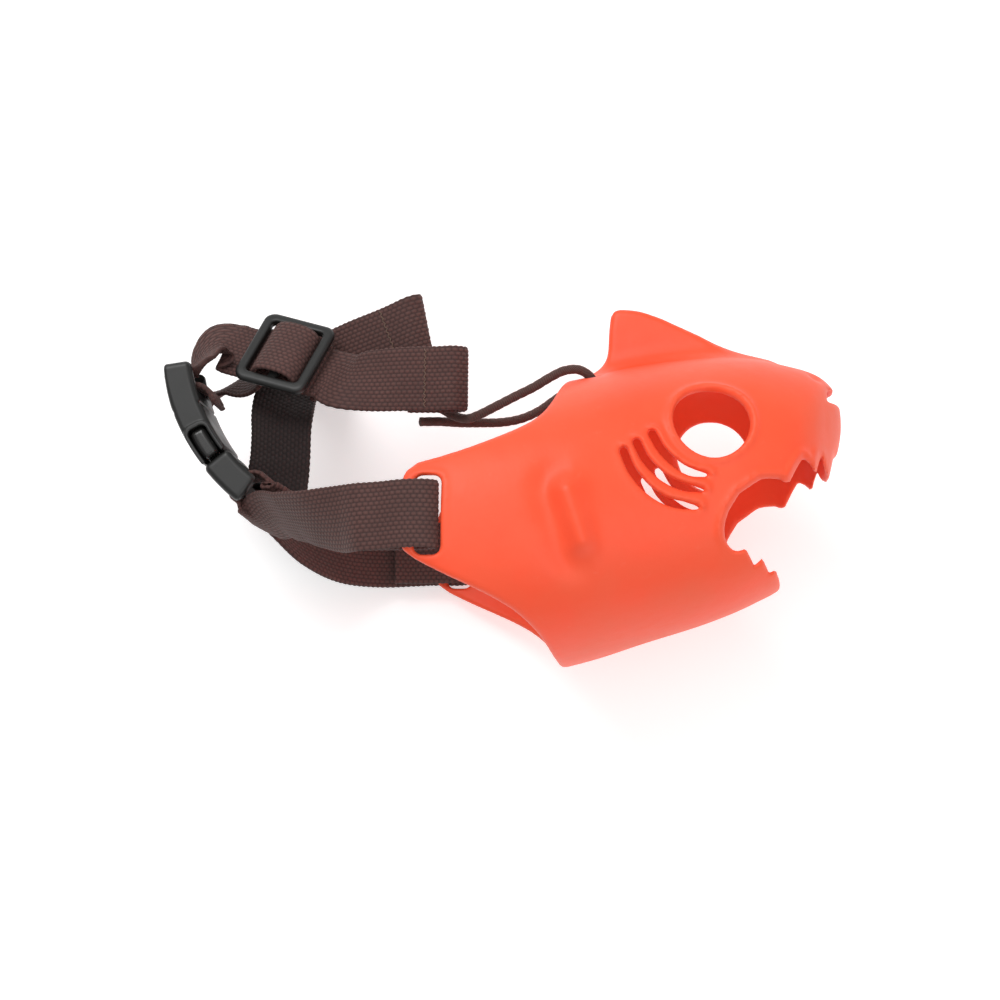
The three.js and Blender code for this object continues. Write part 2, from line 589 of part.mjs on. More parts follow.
piece("muzzle_shell", muzzleShell(), SILICONE);
piece("side_strap_near", strap(SIDE_STRAP_NEAR), WEBBING);
piece("side_strap_far", strap(SIDE_STRAP_FAR), WEBBING);
piece("buckle_loop", strap(BUCKLE_LOOP), WEBBING);
piece("head_strap_front", strap(HEAD_STRAP_FRONT), WEBBING);
piece("head_strap_rear", strap(HEAD_STRAP_REAR), WEBBING);
piece("strap_tail", strap(STRAP_TAIL), WEBBING);
piece("slider_frame", sliderFrame(), PLASTIC);
piece("slider_bridge", strap(SLIDER_BRIDGE), WEBBING);
piece("buckle_female", buckleFemale(), PLASTIC);
piece("buckle_male", buckleMale(), PLASTIC);
piece("buckle_arm_near", buckleArm(1), PLASTIC);
piece("buckle_arm_far", buckleArm(-1), PLASTIC);
piece("tie_cord", cord(), CORD);
const STITCHES = [
  ["stitch_near_tab_a", SIDE_STRAP_NEAR, 7.1 / 24, 1, 14],
  ["stitch_near_tab_b", SIDE_STRAP_NEAR, 7.4 / 24, 1, 14],
  ["stitch_far_tab_a", SIDE_STRAP_FAR, 9.3 / 21, 1, 14],
  ["stitch_far_tab_b", SIDE_STRAP_FAR, 9.8 / 21, 1, 14],
  ["stitch_junction", SIDE_STRAP_NEAR, 12.3 / 24, 1, 15],
  ["stitch_fold", HEAD_STRAP_FRONT, 7.7 / 13, 1, 16],
  ["stitch_hem", STRAP_TAIL, 3 / 7, 1, 16],
];
for (const [name, stations, share, side, length] of STITCHES)
  piece(name, stitchRow(stations, share, side, length), THREAD);

// The part's origin is under the middle of its box.
const box = new THREE.Box3().setFromObject(muzzle);
const middle = box.getCenter(new THREE.Vector3());
muzzle.children.forEach((mesh) => mesh.geometry.translate(-middle.x, -middle.y, -box.min.z));

export default muzzle;
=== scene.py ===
import math

import bpy
import numpy as np
from mathutils import Matrix, Vector


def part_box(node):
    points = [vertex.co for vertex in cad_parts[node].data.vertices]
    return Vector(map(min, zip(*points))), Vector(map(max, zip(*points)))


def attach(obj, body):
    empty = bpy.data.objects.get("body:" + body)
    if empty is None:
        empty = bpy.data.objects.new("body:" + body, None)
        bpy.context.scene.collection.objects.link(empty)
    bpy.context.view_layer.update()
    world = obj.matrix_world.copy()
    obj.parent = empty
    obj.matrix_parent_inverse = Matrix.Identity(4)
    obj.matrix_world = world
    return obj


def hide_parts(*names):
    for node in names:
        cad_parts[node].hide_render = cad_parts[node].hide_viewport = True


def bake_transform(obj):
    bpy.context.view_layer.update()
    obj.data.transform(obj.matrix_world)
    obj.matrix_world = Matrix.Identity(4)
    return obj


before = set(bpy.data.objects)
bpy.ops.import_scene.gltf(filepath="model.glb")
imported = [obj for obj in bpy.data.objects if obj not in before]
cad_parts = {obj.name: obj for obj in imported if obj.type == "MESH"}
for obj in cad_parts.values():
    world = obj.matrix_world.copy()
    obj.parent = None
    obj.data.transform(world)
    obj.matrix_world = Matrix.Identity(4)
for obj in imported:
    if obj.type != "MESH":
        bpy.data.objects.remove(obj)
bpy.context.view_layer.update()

# Lengths here are millimetres in the design frame: X to the nose, Y to the fin, Z up, with the
# head's middle plane at Z = MID. SHIFT takes them to the row frame.
MID = 55.0
SLIDER_AT = np.array([-62.1, 41.7, 63.0])
SLIDER_ALONG = np.array([0.9438, -0.2767, 0.1818])
SLIDER_ALONG /= np.linalg.norm(SLIDER_ALONG)
SLIDER_ACROSS = np.array([0.3308, 0.812, -0.4812])
SLIDER_ACROSS /= np.linalg.norm(SLIDER_ACROSS)
SLIDER_OUT = np.cross(SLIDER_ALONG, SLIDER_ACROSS)
_lo, _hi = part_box("slider_frame")
SHIFT = np.array((_lo + _hi) / 2) * 1000 - SLIDER_AT
WALL = 2.6
WEB_WIDTH = 18.6
WEB_THICKNESS = 1.5
WEAVE_ROW = 1.2  # across the strap, from one row of beads to the next
WEAVE_BEAD = 1.6  # along the strap, from one bead to the next
CORD_DIAMETER = 2.6
ARC = (-35.8, 45.8)  # centre of the curved buckle's arc
BUCKLE_Z = 61.0
BUCKLE_HALF = 13.5
BUCKLE_R0 = 52.6
BUCKLE_R1 = 61.4
BUCKLE_MEAN = (BUCKLE_R0 + BUCKLE_R1) / 2
CAMERA_AT = (63.447, -102.286, 887.089)
CAMERA_RIGHT = (0.99714, 0.00923, -0.07499)
CAMERA_UP = (0.0, 0.99251, 0.12215)
KEY_POWER, FILL_POWER, TOP_POWER, WORLD_STRENGTH = 4.4, 1.9, 2.5, 0.42
scene = bpy.context.scene


def row(points):
    """Design millimetres to row metres."""
    return (np.asarray(points, float) + SHIFT) / 1000


# ---- camera ----
def add_camera():
    data = bpy.data.cameras.new("camera")
    data.lens = 105
    data.sensor_width = 36
    data.clip_end = 10
    camera = bpy.data.objects.new("camera", data)
    right = Vector(CAMERA_RIGHT)
    up = Vector(CAMERA_UP)
    back = right.cross(up)
    up = back.cross(right)
    turn = Matrix((right, up, back)).transposed().to_4x4()
    camera.matrix_world = Matrix.Translation(row(CAMERA_AT)) @ turn
    scene.collection.objects.link(camera)
    scene.camera = camera
    scene.view_settings.view_transform = "Standard"


add_camera()


# ---- meshes ----
def mesh_object(name, vertices, faces, uv=None):
    """An object from row-frame vertices, a list of faces, and a UV pair for each vertex."""
    mesh = bpy.data.meshes.new(name)
    mesh.from_pydata(np.asarray(vertices, float).tolist(), [], [list(map(int, f)) for f in faces])
    mesh.polygons.foreach_set("use_smooth", [True] * len(mesh.polygons))
    if uv is not None:
        corner = np.zeros(len(mesh.loops), np.int32)
        mesh.loops.foreach_get("vertex_index", corner)
        layer = mesh.uv_layers.new(name="weave")
        layer.data.foreach_set("uv", np.asarray(uv, np.float32)[corner].ravel())
    mesh.update()
    made = bpy.data.objects.new(name, mesh)
    scene.collection.objects.link(made)
    return made


def hermite(p1, p2, t1, t2, w):
    w2, w3 = w * w, w * w * w
    ends = p1 * (2 * w3 - 3 * w2 + 1) + t1 * (w3 - 2 * w2 + w)
    return ends + p2 * (3 * w2 - 2 * w3) + t2 * (w3 - w2)


def curve_at(points, t, centripetal=True):
    """A smooth curve through points, at parameters t, where the points are 0, 1, 2..."""
    p = np.asarray(points, float)
    q = np.vstack([2 * p[0] - p[1], p, 2 * p[-1] - p[-2]])
    i = np.clip(np.floor(t).astype(int), 0, len(p) - 2)
    w = (t - i)[:, None]
    p0, p1, p2, p3 = q[i], q[i + 1], q[i + 2], q[i + 3]
    if not centripetal:
        return hermite(p1, p2, (p2 - p0) / 2, (p3 - p1) / 2, w)
    gap = [np.sqrt(np.linalg.norm(b - a, axis=1))[:, None] for a, b in ((p0, p1), (p1, p2), (p2, p3))]
    t1 = ((p1 - p0) / gap[0] - (p2 - p0) / (gap[0] + gap[1]) + (p2 - p1) / gap[1]) * gap[1]
    t2 = ((p2 - p1) / gap[1] - (p3 - p1) / (gap[1] + gap[2]) + (p3 - p2) / gap[2]) * gap[1]
    return hermite(p1, p2, t1, t2, w)


def even_parameters(points, step):
    """Parameters of a curve at even steps of its length, and those lengths."""
    dense = np.linspace(0, len(points) - 1, 60 * (len(points) - 1) + 1)
    line = curve_at(points, dense)
    run = np.concatenate([[0], np.cumsum(np.linalg.norm(np.diff(line, axis=0), axis=1))])
    count = max(int(round(run[-1] / step)), 4)
    along = np.linspace(0, run[-1], count + 1)
    return np.interp(along, run, dense), along


def unit(v):
    return v / np.linalg.norm(v, axis=-1, keepdims=True)


def tube(points, radius, sides, wave=None):
    """Vertices, faces and UV (mm round, mm along) of a tube along close points."""
    p = np.asarray(points, float)
    along = unit(np.gradient(p, axis=0))
    normal = np.zeros_like(p)
    start = np.array([0.0, 0.0, 1.0]) if abs(along[0][2]) < 0.8 else np.array([0.0, 1.0, 0.0])
    normal[0] = unit(start - along[0] * (start @ along[0]))
    for i in range(1, len(p)):
        n = normal[i - 1] - along[i] * (normal[i - 1] @ along[i])
        normal[i] = n / np.linalg.norm(n)
    other = np.cross(along, normal)
    angle = np.arange(sides) * 2 * np.pi / sides
    run = np.concatenate([[0], np.cumsum(np.linalg.norm(np.diff(p, axis=0), axis=1))])
    a, s = np.meshgrid(angle, run)
    swell = 1 + (wave(a, s) if wave else 0)
    r = np.broadcast_to(np.asarray(radius, float), (len(p),))[:, None] * swell
    outward = np.cos(a)[..., None] * normal[:, None] + np.sin(a)[..., None] * other[:, None]
    ring = p[:, None] + r[..., None] * outward
    vertices = ring.reshape(-1, 3)
    uv = np.stack([a / (2 * np.pi) * 8, s], -1).reshape(-1, 2)
    i, j = np.meshgrid(np.arange(len(p) - 1), np.arange(sides), indexing="ij")
    k = (j + 1) % sides
    quads = np.stack([i * sides + j, i * sides + k, (i + 1) * sides + k, (i + 1) * sides + j], -1)
    faces = quads.reshape(-1, 4).tolist()
    n = len(vertices)
    first = p[0] - along[0] * 0.25 * r[0].mean()
    final = p[-1] + along[-1] * 0.25 * r[-1].mean()
    vertices = np.vstack([vertices, first, final])
    uv = np.vstack([uv, [0, 0], [0, run[-1]]])
    last = (len(p) - 1) * sides
    faces += [[n, (m + 1) % sides, m] for m in range(sides)]
    faces += [[n + 1, last + m, last + (m + 1) % sides] for m in range(sides)]
    return vertices, faces, uv


def joined(parts):
    """Several (vertices, faces, uv) as one."""
    vertices, faces, uvs, base = [], [], [], 0
    for v, f, uv in parts:
        vertices.append(v)
        uvs.append(uv)
        faces += [[i + base for i in face] for face in f]
        base += len(v)
    return np.vstack(vertices), faces, np.vstack(uvs)


# ---- implicit surfaces ----
def smooth_min(a, b, k):
    h = np.clip(0.5 + 0.5 * (b - a) / k, 0, 1)
    return b * (1 - h) + a * h - k * h * (1 - h)


def smooth_max(a, b, k):
    return -smooth_min(-a, -b, k)


def surface(field, lo, step):
    """Vertices and outward quads of the zero surface of a sampled field that is negative inside."""
    inside = field < 0
    corner = [inside[i:inside.shape[0] - 1 + i, j:inside.shape[1] - 1 + j, k:inside.shape[2] - 1 + k]
              for i in (0, 1) for j in (0, 1) for k in (0, 1)]
    total = sum(c.astype(np.int8) for c in corner)
    active = (total > 0) & (total < 8)
    cells = np.argwhere(active)
    index = np.full(active.shape, -1, np.int64)
    index[active] = np.arange(len(cells))
    place = np.zeros((len(cells), 3))
    count = np.zeros(len(cells))
    for axis in range(3):
        for b in (0, 1):
            for c in (0, 1):
                start = np.zeros(3, int)
                start[(axis + 1) % 3], start[(axis + 2) % 3] = b, c
                end = start.copy()
                end[axis] = 1
                fa = field[tuple((cells + start).T)]
                fb = field[tuple((cells + end).T)]
                cross = (fa < 0) != (fb < 0)
                t = np.where(cross, fa / np.where(cross, fa - fb, 1), 0)
                place[cross] += start + t[cross, None] * (end - start)
                count += cross
    vertices = lo + step * (cells + place / count[:, None])
    faces = []
    for axis in range(3):
        first = [slice(None)] * 3
        second = [slice(None)] * 3
        first[axis], second[axis] = slice(None, -1), slice(1, None)
        cross = inside[tuple(first)] != inside[tuple(second)]
        at = np.argwhere(cross)
        u, v = (axis + 1) % 3, (axis + 2) % 3
        keep = (at[:, u] > 0) & (at[:, v] > 0)
        keep &= (at[:, u] < field.shape[u] - 1) & (at[:, v] < field.shape[v] - 1)
        at = at[keep]
        du, dv = np.eye(3, dtype=int)[u], np.eye(3, dtype=int)[v]
        quad = np.stack([index[tuple(p.T)] for p in (at, at - du, at - du - dv, at - dv)], 1)
        outward = inside[tuple(at.T)]
        quad[~outward] = quad[~outward][:, ::-1]
        faces.append(quad)
    return vertices, np.vstack(faces)


def sd_polygon(points, x, y):
    """Signed distance to a side-view polygon, negative inside."""
    p = np.asarray(points, float)
    best = np.full(x.shape, np.inf)
    inside = np.zeros(x.shape, bool)
    for a, b in zip(p, np.roll(p, -1, axis=0)):
        e = b - a
        wx, wy = x - a[0], y - a[1]
        t = np.clip((wx * e[0] + wy * e[1]) / max(e @ e, 1e-12), 0, 1)
        best = np.minimum(best, (wx - e[0] * t) ** 2 + (wy - e[1] * t) ** 2)
        if a[1] != b[1]:
            hit = ((a[1] > y) != (b[1] > y)) & (x < (b[0] - a[0]) * (y - a[1]) / (b[1] - a[1]) + a[0])
            inside ^= hit
    return np.where(inside, -1, 1) * np.sqrt(best)


def line_distance(points, x, y):
    """Distance to an open side-view line, and which side of it a point is on (+ is left of it)."""
    best = np.full(x.shape, np.inf)
    side = np.zeros(x.shape)
    for a, b in zip(points[:-1], points[1:]):
        e = b - a
        wx, wy = x - a[0], y - a[1]
        t = np.clip((wx * e[0] + wy * e[1]) / (e @ e), 0, 1)
        d = np.hypot(wx - e[0] * t, wy - e[1] * t)
        near = d < best
        best = np.where(near, d, best)
        side = np.where(near, (e[0] * wy - e[1] * wx) / np.linalg.norm(e), side)
    return best, side


def flat_curve(points, count):
    flat = np.asarray([(x, y, 0) for x, y in points], float)
    return curve_at(flat, np.linspace(0, len(points) - 1, count + 1), False)[:, :2]


def rounded_box(q, half, radius):
    """Signed distance of a box with rounded edges; q is a tuple of offsets from its middle."""
    d = [np.abs(v) - h + radius for v, h in zip(q, half)]
    outside = np.sqrt(sum(np.maximum(v, 0) ** 2 for v in d))
    return outside + np.minimum(np.maximum.reduce(np.broadcast_arrays(*d)), 0) - radius


def grid(lo, hi, step):
    count = [int(math.ceil((b - a) / step)) + 1 for a, b in zip(lo, hi)]
    axes = [a + step * np.arange(n) for a, n in zip(lo, count)]
    return np.meshgrid(*axes, indexing="ij", sparse=True)


# ---- materials ----
class Look:
    """A small helper that adds nodes to one material."""

    def __init__(self, name, color, roughness):
        self.material = bpy.data.materials.new(name)
        self.material.use_nodes = True
        self.tree = self.material.node_tree
        self.shader = self.tree.nodes["Principled BSDF"]
        self.shader.inputs["Base Color"].default_value = (*color, 1)
        self.shader.inputs["Roughness"].default_value = roughness

    def node(self, kind, **inputs):
        made = self.tree.nodes.new("ShaderNode" + kind)
        for key, value in inputs.items():
            self.feed(made.inputs[key.replace("_", " ")], value)
        return made

    def feed(self, socket, value):
        if isinstance(value, bpy.types.NodeSocket):
            self.tree.links.new(value, socket)
        else:
            socket.default_value = value

    def math(self, operation, a, b=0.0, clamp=False):
        made = self.tree.nodes.new("ShaderNodeMath")
        made.operation = operation
        made.use_clamp = clamp
        self.feed(made.inputs[0], a)
        self.feed(made.inputs[1], b)
        return made.outputs[0]

    def noise(self, vector, scale, detail=3.0, roughness=0.5):
        made = self.node("TexNoise", Scale=scale, Detail=detail, Roughness=roughness)
        self.tree.links.new(vector, made.inputs["Vector"])
        return made.outputs["Fac"]

    def coordinates(self):
        return self.tree.nodes.new("ShaderNodeTexCoord").outputs["Object"]

    def uv(self):
        made = self.tree.nodes.new("ShaderNodeUVMap")
        made.uv_map = "weave"
        return made.outputs["UV"]

    def mix(self, factor, a, b):
        made = self.tree.nodes.new("ShaderNodeMix")
        made.data_type = "RGBA"
        self.feed(made.inputs[0], factor)
        for socket, value in ((made.inputs[6], a), (made.inputs[7], b)):
            self.feed(socket, value if isinstance(value, bpy.types.NodeSocket) else (*value, 1))
        return made.outputs[2]

    def ramp(self, value, low, high, to_low=0.0, to_high=1.0):
        made = self.node("MapRange", Value=value)
        for key, number in (("From Min", low), ("From Max", high), ("To Min", to_low), ("To Max", to_high)):
            made.inputs[key].default_value = number
        return made.outputs[0]

    def bump(self, height, strength, distance, normal=None):
        made = self.node("Bump", Height=height, Strength=strength, Distance=distance)
        if normal is not None:
            self.tree.links.new(normal, made.inputs["Normal"])
        return made.outputs["Normal"]

    def wire(self, **sockets):
        for key, value in sockets.items():
            self.feed(self.shader.inputs[key.replace("_", " ")], value)
        return self.material


def shade(c, factor):
    return tuple(v * factor for v in c)


def silicone():
    look = Look("silicone", (1.0, 0.095, 0.034), 0.42)
    at = look.coordinates()
    cloud = look.noise(at, 38, 3)
    fine = look.noise(at, 900, 4)
    dust = look.noise(at, 260, 5, 0.7)
    color = look.mix(look.ramp(cloud, 0.35, 0.65), (1.0, 0.088, 0.030), (0.93, 0.104, 0.040))
    speck = look.ramp(dust, 0.62, 0.72, 0, 0.08)
    color = look.mix(speck, color, (0.95, 0.25, 0.16))
    # convex edges are painted a paler red: a painted highlight along the moulding's edges
    edge = look.tree.nodes.new("ShaderNodeNewGeometry").outputs["Pointiness"]
    color = look.mix(look.ramp(edge, 0.52, 0.60, 0, 0.15), color, (1.0, 0.18, 0.10))
    both = look.math("ADD", look.math("MULTIPLY", cloud, 0.5), look.math("MULTIPLY", dust, 0.5))
    rough = look.ramp(both, 0.3, 0.7, 0.42, 0.54)
    normal = look.bump(look.noise(at, 240, 2), 0.25, 0.00035)
    normal = look.bump(fine, 0.35, 0.00009, normal)
    return look.wire(Base_Color=color, Roughness=rough, Normal=normal,
                     Specular_IOR_Level=0.35)


def webbing(name, dark, light, crown):
    look = Look(name, dark, 0.78)
    uv = look.uv()
    split = look.node("SeparateXYZ", Vector=uv)
    lane = look.math("DIVIDE", split.outputs[0], WEAVE_ROW)
    across = look.math("ABSOLUTE", look.math("SINE", look.math("MULTIPLY", lane, math.pi)))
    odd = look.math("MULTIPLY", look.math("MODULO", look.math("FLOOR", lane), 2.0), 0.5)
    step = look.math("ADD", look.math("DIVIDE", split.outputs[1], WEAVE_BEAD), odd)
    along = look.math("ABSOLUTE", look.math("COSINE", look.math("MULTIPLY", step, math.pi)))
    bead = look.math("MULTIPLY", look.math("POWER", across, 0.7), look.math("POWER", along, 0.7))
    yarn = look.node("TexWave", Vector=uv, Scale=1.9, Distortion=2.2, Detail=2.0)
    yarn.wave_type = "BANDS"
    yarn.bands_direction = "DIAGONAL"
    at = look.coordinates()
    fuzz = look.noise(at, 2600, 3)
    cloud = look.noise(at, 130, 3)
    # the colour follows the weave's relief, dark in the hollows between beads and yarn bands and light on
    # their crowns: painted shade and painted highlight; the cloud noise adds random tone
    tone = look.math("MULTIPLY", bead, look.ramp(yarn.outputs["Fac"], 0, 1, 0.55, 1.0))
    tone = look.math("MULTIPLY", tone, look.ramp(cloud, 0.3, 0.7, 0.75, 1.1), True)
    color = look.mix(tone, dark, light)
    color = look.mix(look.ramp(fuzz, 0.6, 0.8, 0, 0.5), color, crown)
    normal = look.bump(bead, 0.6, 0.00016)
    normal = look.bump(yarn.outputs["Fac"], 0.35, 0.00007, normal)
    normal = look.bump(fuzz, 0.4, 0.00005, normal)
    return look.wire(Base_Color=color, Roughness=look.ramp(fuzz, 0.3, 0.7, 0.66, 0.9), Normal=normal,
                     Sheen_Weight=0.1, Sheen_Roughness=0.5, Sheen_Tint=(0.55, 0.42, 0.38, 1))


def thread(name, color, light):
    look = Look(name, color, 0.75)
    uv = look.uv()
    twist = look.node("TexWave", Vector=uv, Scale=1.6, Distortion=0.6)
    twist.bands_direction = "DIAGONAL"
    at = look.coordinates()
    cloud = look.noise(at, 900, 3)
    # the twist's bands colour the thread darker in its grooves and lighter on its plies: painted shade and
    # painted highlight following the bump; the cloud noise adds random darker patches
    tone = look.mix(look.ramp(twist.outputs["Fac"], 0, 1, 0.0, 0.8), color, light)
    tone = look.mix(look.ramp(cloud, 0.5, 0.75, 0, 0.5), tone, shade(color, 0.5))
    normal = look.bump(twist.outputs["Fac"], 0.6, 0.00008)
    return look.wire(Base_Color=tone, Normal=normal, Sheen_Weight=0.2, Sheen_Roughness=0.5)


def braid_material():
    look = Look("cord", (0.055, 0.022, 0.018), 0.8)
    uv = look.uv()
    one = look.node("TexWave", Vector=uv, Scale=1.0, Distortion=0.5)
    one.bands_direction = "DIAGONAL"
    at = look.coordinates()
    fuzz = look.noise(at, 2400, 3)
    cloud = look.noise(at, 160, 3)
    # the braid's bands colour the cord darker in its grooves and lighter on its strands: painted shade and
    # painted highlight following the bump
    color = look.mix(look.ramp(one.outputs["Fac"], 0, 1), (0.030, 0.012, 0.010), (0.115, 0.055, 0.045))
    color = look.mix(look.ramp(cloud, 0.35, 0.7, 0, 0.5), color, (0.060, 0.024, 0.019))
    color = look.mix(look.ramp(fuzz, 0.58, 0.75, 0, 0.5), color, (0.16, 0.09, 0.075))
    normal = look.bump(one.outputs["Fac"], 0.6, 0.00012)
    normal = look.bump(fuzz, 0.5, 0.00006, normal)
    return look.wire(Base_Color=color, Normal=normal, Sheen_Weight=0.25, Sheen_Roughness=0.5,
                     Sheen_Tint=(0.5, 0.38, 0.34, 1))


def plastic(name, low, high, color=(0.008, 0.008, 0.0075)):
    look = Look(name, color, (low + high) / 2)
    at = look.coordinates()
    cloud = look.noise(at, 120, 4)
    grain = look.noise(at, 2200, 2)
    scuff = look.node("TexNoise", Scale=420.0, Detail=4.0, Roughness=0.7, Distortion=1.2)
    look.tree.links.new(at, scuff.inputs["Vector"])
    edge = look.tree.nodes.new("ShaderNodeNewGeometry").outputs["Pointiness"]
    edges = look.ramp(edge, 0.51, 0.58)
    patches = look.ramp(scuff.outputs["Fac"], 0.45, 0.65)
    worn = look.math("MULTIPLY", edges, patches, True)
    tone = look.mix(look.ramp(cloud, 0.35, 0.65), shade(color, 0.85), shade(color, 1.25))
    tone = look.mix(look.math("MULTIPLY", worn, 0.5), tone, (0.04, 0.039, 0.036))
    rough = look.math("ADD", look.ramp(cloud, 0.3, 0.7, low, high), look.math("MULTIPLY", worn, 0.12))
    normal = look.bump(grain, 0.25, 0.00005)
    return look.wire(Base_Color=tone, Roughness=rough, Normal=normal)


SILICONE = silicone()
WEB = webbing("webbing", (0.034, 0.0115, 0.0098), (0.125, 0.052, 0.044), (0.19, 0.100, 0.083))
# the same webbing with all its colours darkened: painted shade for the rear head strap, which lies in shadow
WEB_PAINTED_SHADE = webbing("webbing_painted_shade", (0.010, 0.005, 0.005), (0.036, 0.018, 0.017), (0.065, 0.040, 0.037))
THREAD = thread("thread_tan", (0.13, 0.068, 0.042), (0.23, 0.13, 0.085))
CORD = braid_material()
SLIDER_PLASTIC = plastic("slider_plastic", 0.42, 0.58)
BUCKLE_PLASTIC = plastic("buckle_plastic", 0.36, 0.5)
ARM_PLASTIC = plastic("arm_plastic", 0.2, 0.3, (0.012, 0.0115, 0.011))


def dress(piece, material, slot, body, *nodes):
    piece.data.materials.append(material)
    if body:
        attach(piece, body)
    if nodes:
        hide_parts(*nodes)
    return piece


# ---- cord ----
CORD_ROUTE = [
    (-22.6, 21.6, 64), (-17.2, 22, 61.6), (-11.5, 22.2, 57.8), (-6, 22.8, 53.6), (0, 23.6, 49.4),
    (5.4, 25.2, 46), (10.4, 28, 43), (14.6, 31.4, 40.9), (18.2, 34, 40), (20.8, 35.3, 39.7),
    (23.6, 35.5, 39.7), (26, 34.5, 40), (27.7, 32.5, 40.7), (28.4, 30, 41.8), (28.7, 26.6, 44),
    (28.8, 23.6, 48), (28.8, 22.6, 53), (28.8, 22.6, 57), (28.8, 23.6, 62), (28.6, 26.4, 66),
    (28, 30.2, 68.4), (26.4, 33.6, 69.6), (23.2, 35.4, 70.8), (19.2, 35, 71.8), (15, 32.8, 72.8),
    (10.8, 30.2, 73), (5, 27.4, 72.4), (-0.6, 24.8, 70.8), (-5, 23, 68.6), (-8.8, 22.2, 65.8),
    (-12.4, 23.2, 63.4), (-16.6, 25.6, 62.8), (-21.4, 28.6, 63.4),
]


def braid(a, s):
    """Relative height of the braid's strands, wound both ways round the cord."""
    one = np.cos(4 * a + s * 2.4)
    two = np.cos(4 * a - s * 2.4)
    return 0.055 * np.maximum(one, two) - 0.02


def add_cord():
    t, along = even_parameters(CORD_ROUTE, 0.3)
    line = curve_at(CORD_ROUTE, t)
    v, f, uv = tube(line, CORD_DIAMETER / 2, 20, braid)
    piece = mesh_object("tie_cord_braid", row(v), f, uv)
    dress(piece, CORD, "cord", "muzzle", "tie_cord")


add_cord()

# ---- muzzle shell ----
NOSE_X = 97.7
SPAN = 121.0
REAR_X = NOSE_X - SPAN
POWER = 2.2
HEAD = np.array([
    (97.7, 21.6, 21.6, 0), (96.5, 29.5, 12.9, 8.5), (93.4, 33.8, 2.5, 16.5), (89.5, 36.2, -9.5, 24),
    (82, 38.3, -23.6, 31.5), (73, 40, -29.4, 36), (60, 40.4, -35, 39), (42, 38.3, -40.8, 43.6),
    (25, 34.6, -46.3, 48.6), (8, 31, -50, 51.2), (REAR_X, 26, -53, 52.5)])
EYE_AT = (61, 17.9)
EYE_RADIUS = 10.7
FIN_ROUND = 1.6
NOSTRIL_AT = (90.6, 34.2, 11.2)
NOSE_NOTCH = [(93.4, 26.6), (110, 28.2), (110, 31.6), (93.4, 30.4)]
CORD_HOLE_X, CORD_HOLE_REACH, CORD_HOLE_RADIUS = 27.4, 14.6, 2.6
EYE_AXIS = np.array([0.22, 0.36, 1]) / np.linalg.norm([0.22, 0.36, 1])
GILLS = [
    [(44.6, 13.6), (47.4, 8.8), (51.4, 5), (55.2, 3), (59.4, 2.3)],
    [(40.4, 11), (43, 6), (47.4, 1.6), (52.4, -0.9), (58.2, -2)],
    [(36.9, 8.4), (39.2, 3), (43.4, -2), (49, -5.3), (56.8, -6.7)],
]


def column(k, s):
    """One column of HEAD as a smooth function of s, the root of the share of the way back."""
    x = np.sqrt((NOSE_X - HEAD[:, 0]) / SPAN)
    y = HEAD[:, k]
    last = len(x) - 1
    after = np.minimum(np.arange(last + 1) + 1, last)
    before = np.maximum(np.arange(last + 1) - 1, 0)
    slope = (y[after] - y[before]) / (x[after] - x[before])
    i = np.clip(np.searchsorted(x, s, side="right") - 1, 0, last - 1)
    gap = x[i + 1] - x[i]
    return hermite(y[i], y[i + 1], slope[i] * gap, slope[i + 1] * gap, (s - x[i]) / gap)


def head_distance(x, y, z, step):
    """About the distance outside the closed head."""
    share = (NOSE_X - x) / SPAN
    s = np.sqrt(np.clip(share, 0.0004, None))
    held = np.minimum(s, 1)
    top, bottom, half = (column(k, held) for k in (1, 2, 3))
    scale_y = (top - bottom) / 2 / s
    scale_z = half / s
    middle = (top + bottom) / 2
    radius = (np.abs((y - middle) / scale_y) ** POWER + np.abs((z - MID) / scale_z) ** POWER) ** (2 / POWER)
    value = (radius - share).astype(np.float32)
    slope = np.sqrt(sum(g * g for g in np.gradient(value, step)))
    return value / np.maximum(slope, 1e-5)


def kept_outline():
    """What the side view keeps: everything in front of the scooped rear edge."""
    upper = flat_curve([(-14, 6.2), (-4.4, 9.6), (7.1, 14.7), (13.2, 18.7), (16.4, 23.4), (18.4, 29.4),
                        (20.4, 36), (26, 45)], 44)
    lower = flat_curve([(18.8, -49.5), (16.6, -46.2), (13.3, -41), (7.5, -35.6), (-0.2, -31.2), (-11.6, -26),
                        (-18.5, -22.6), (-22.6, -19.8)], 40)
    tab = [(-23.2, -16), (-23.3, -6), (-23.2, -0.5), (-22.2, 2.2), (-19, 4.8)]
    return [*lower, *tab, *upper, (26, 75), (120, 75), (120, -75), (19.5, -75)]


def mouth_outline():
    """The open mouth in the side view: its corner, the lower teeth, then the upper ones."""
    corner = flat_curve([(68.4, -2.6), (65.4, -7.8), (64.4, -12.4), (65.3, -16), (67.2, -17.6),
                         (69, -17.4)], 30)
    lower = [(70.3, -16.9), (72.7, -21.1), (74.9, -19), (76.9, -22.6), (78.6, -21.4), (80.5, -24.8),
             (84, -27.6), (110, -28), (110, 13)]
    upper = [(95.6, 12.4), (94.2, 4.8), (92.4, 7.6), (91.4, 10.4), (89.9, 5), (88.2, 7.2),
             (86.2, 8.6), (84.6, 6), (82.4, 1.6), (81.2, 1.1), (79.6, 2), (76.2, 2), (74.2, 1.6)]
    return [*corner, *lower, *upper]


def fin_outline():
    back = flat_curve([(26, 33), (29.4, 37.4), (30.8, 42), (31.2, 49), (31.6, 53.4)], 20)
    tip = flat_curve([(32.6, 55), (34.6, 55.6), (40.1, 55), (46, 53)], 16)
    front = flat_curve([(57.4, 47.6), (67.5, 41.8), (76, 38)], 12)
    return [*back, *tip, *front, (76, 20), (26, 20)]


def bell(d, width):
    return np.exp(-(d / width) ** 2)


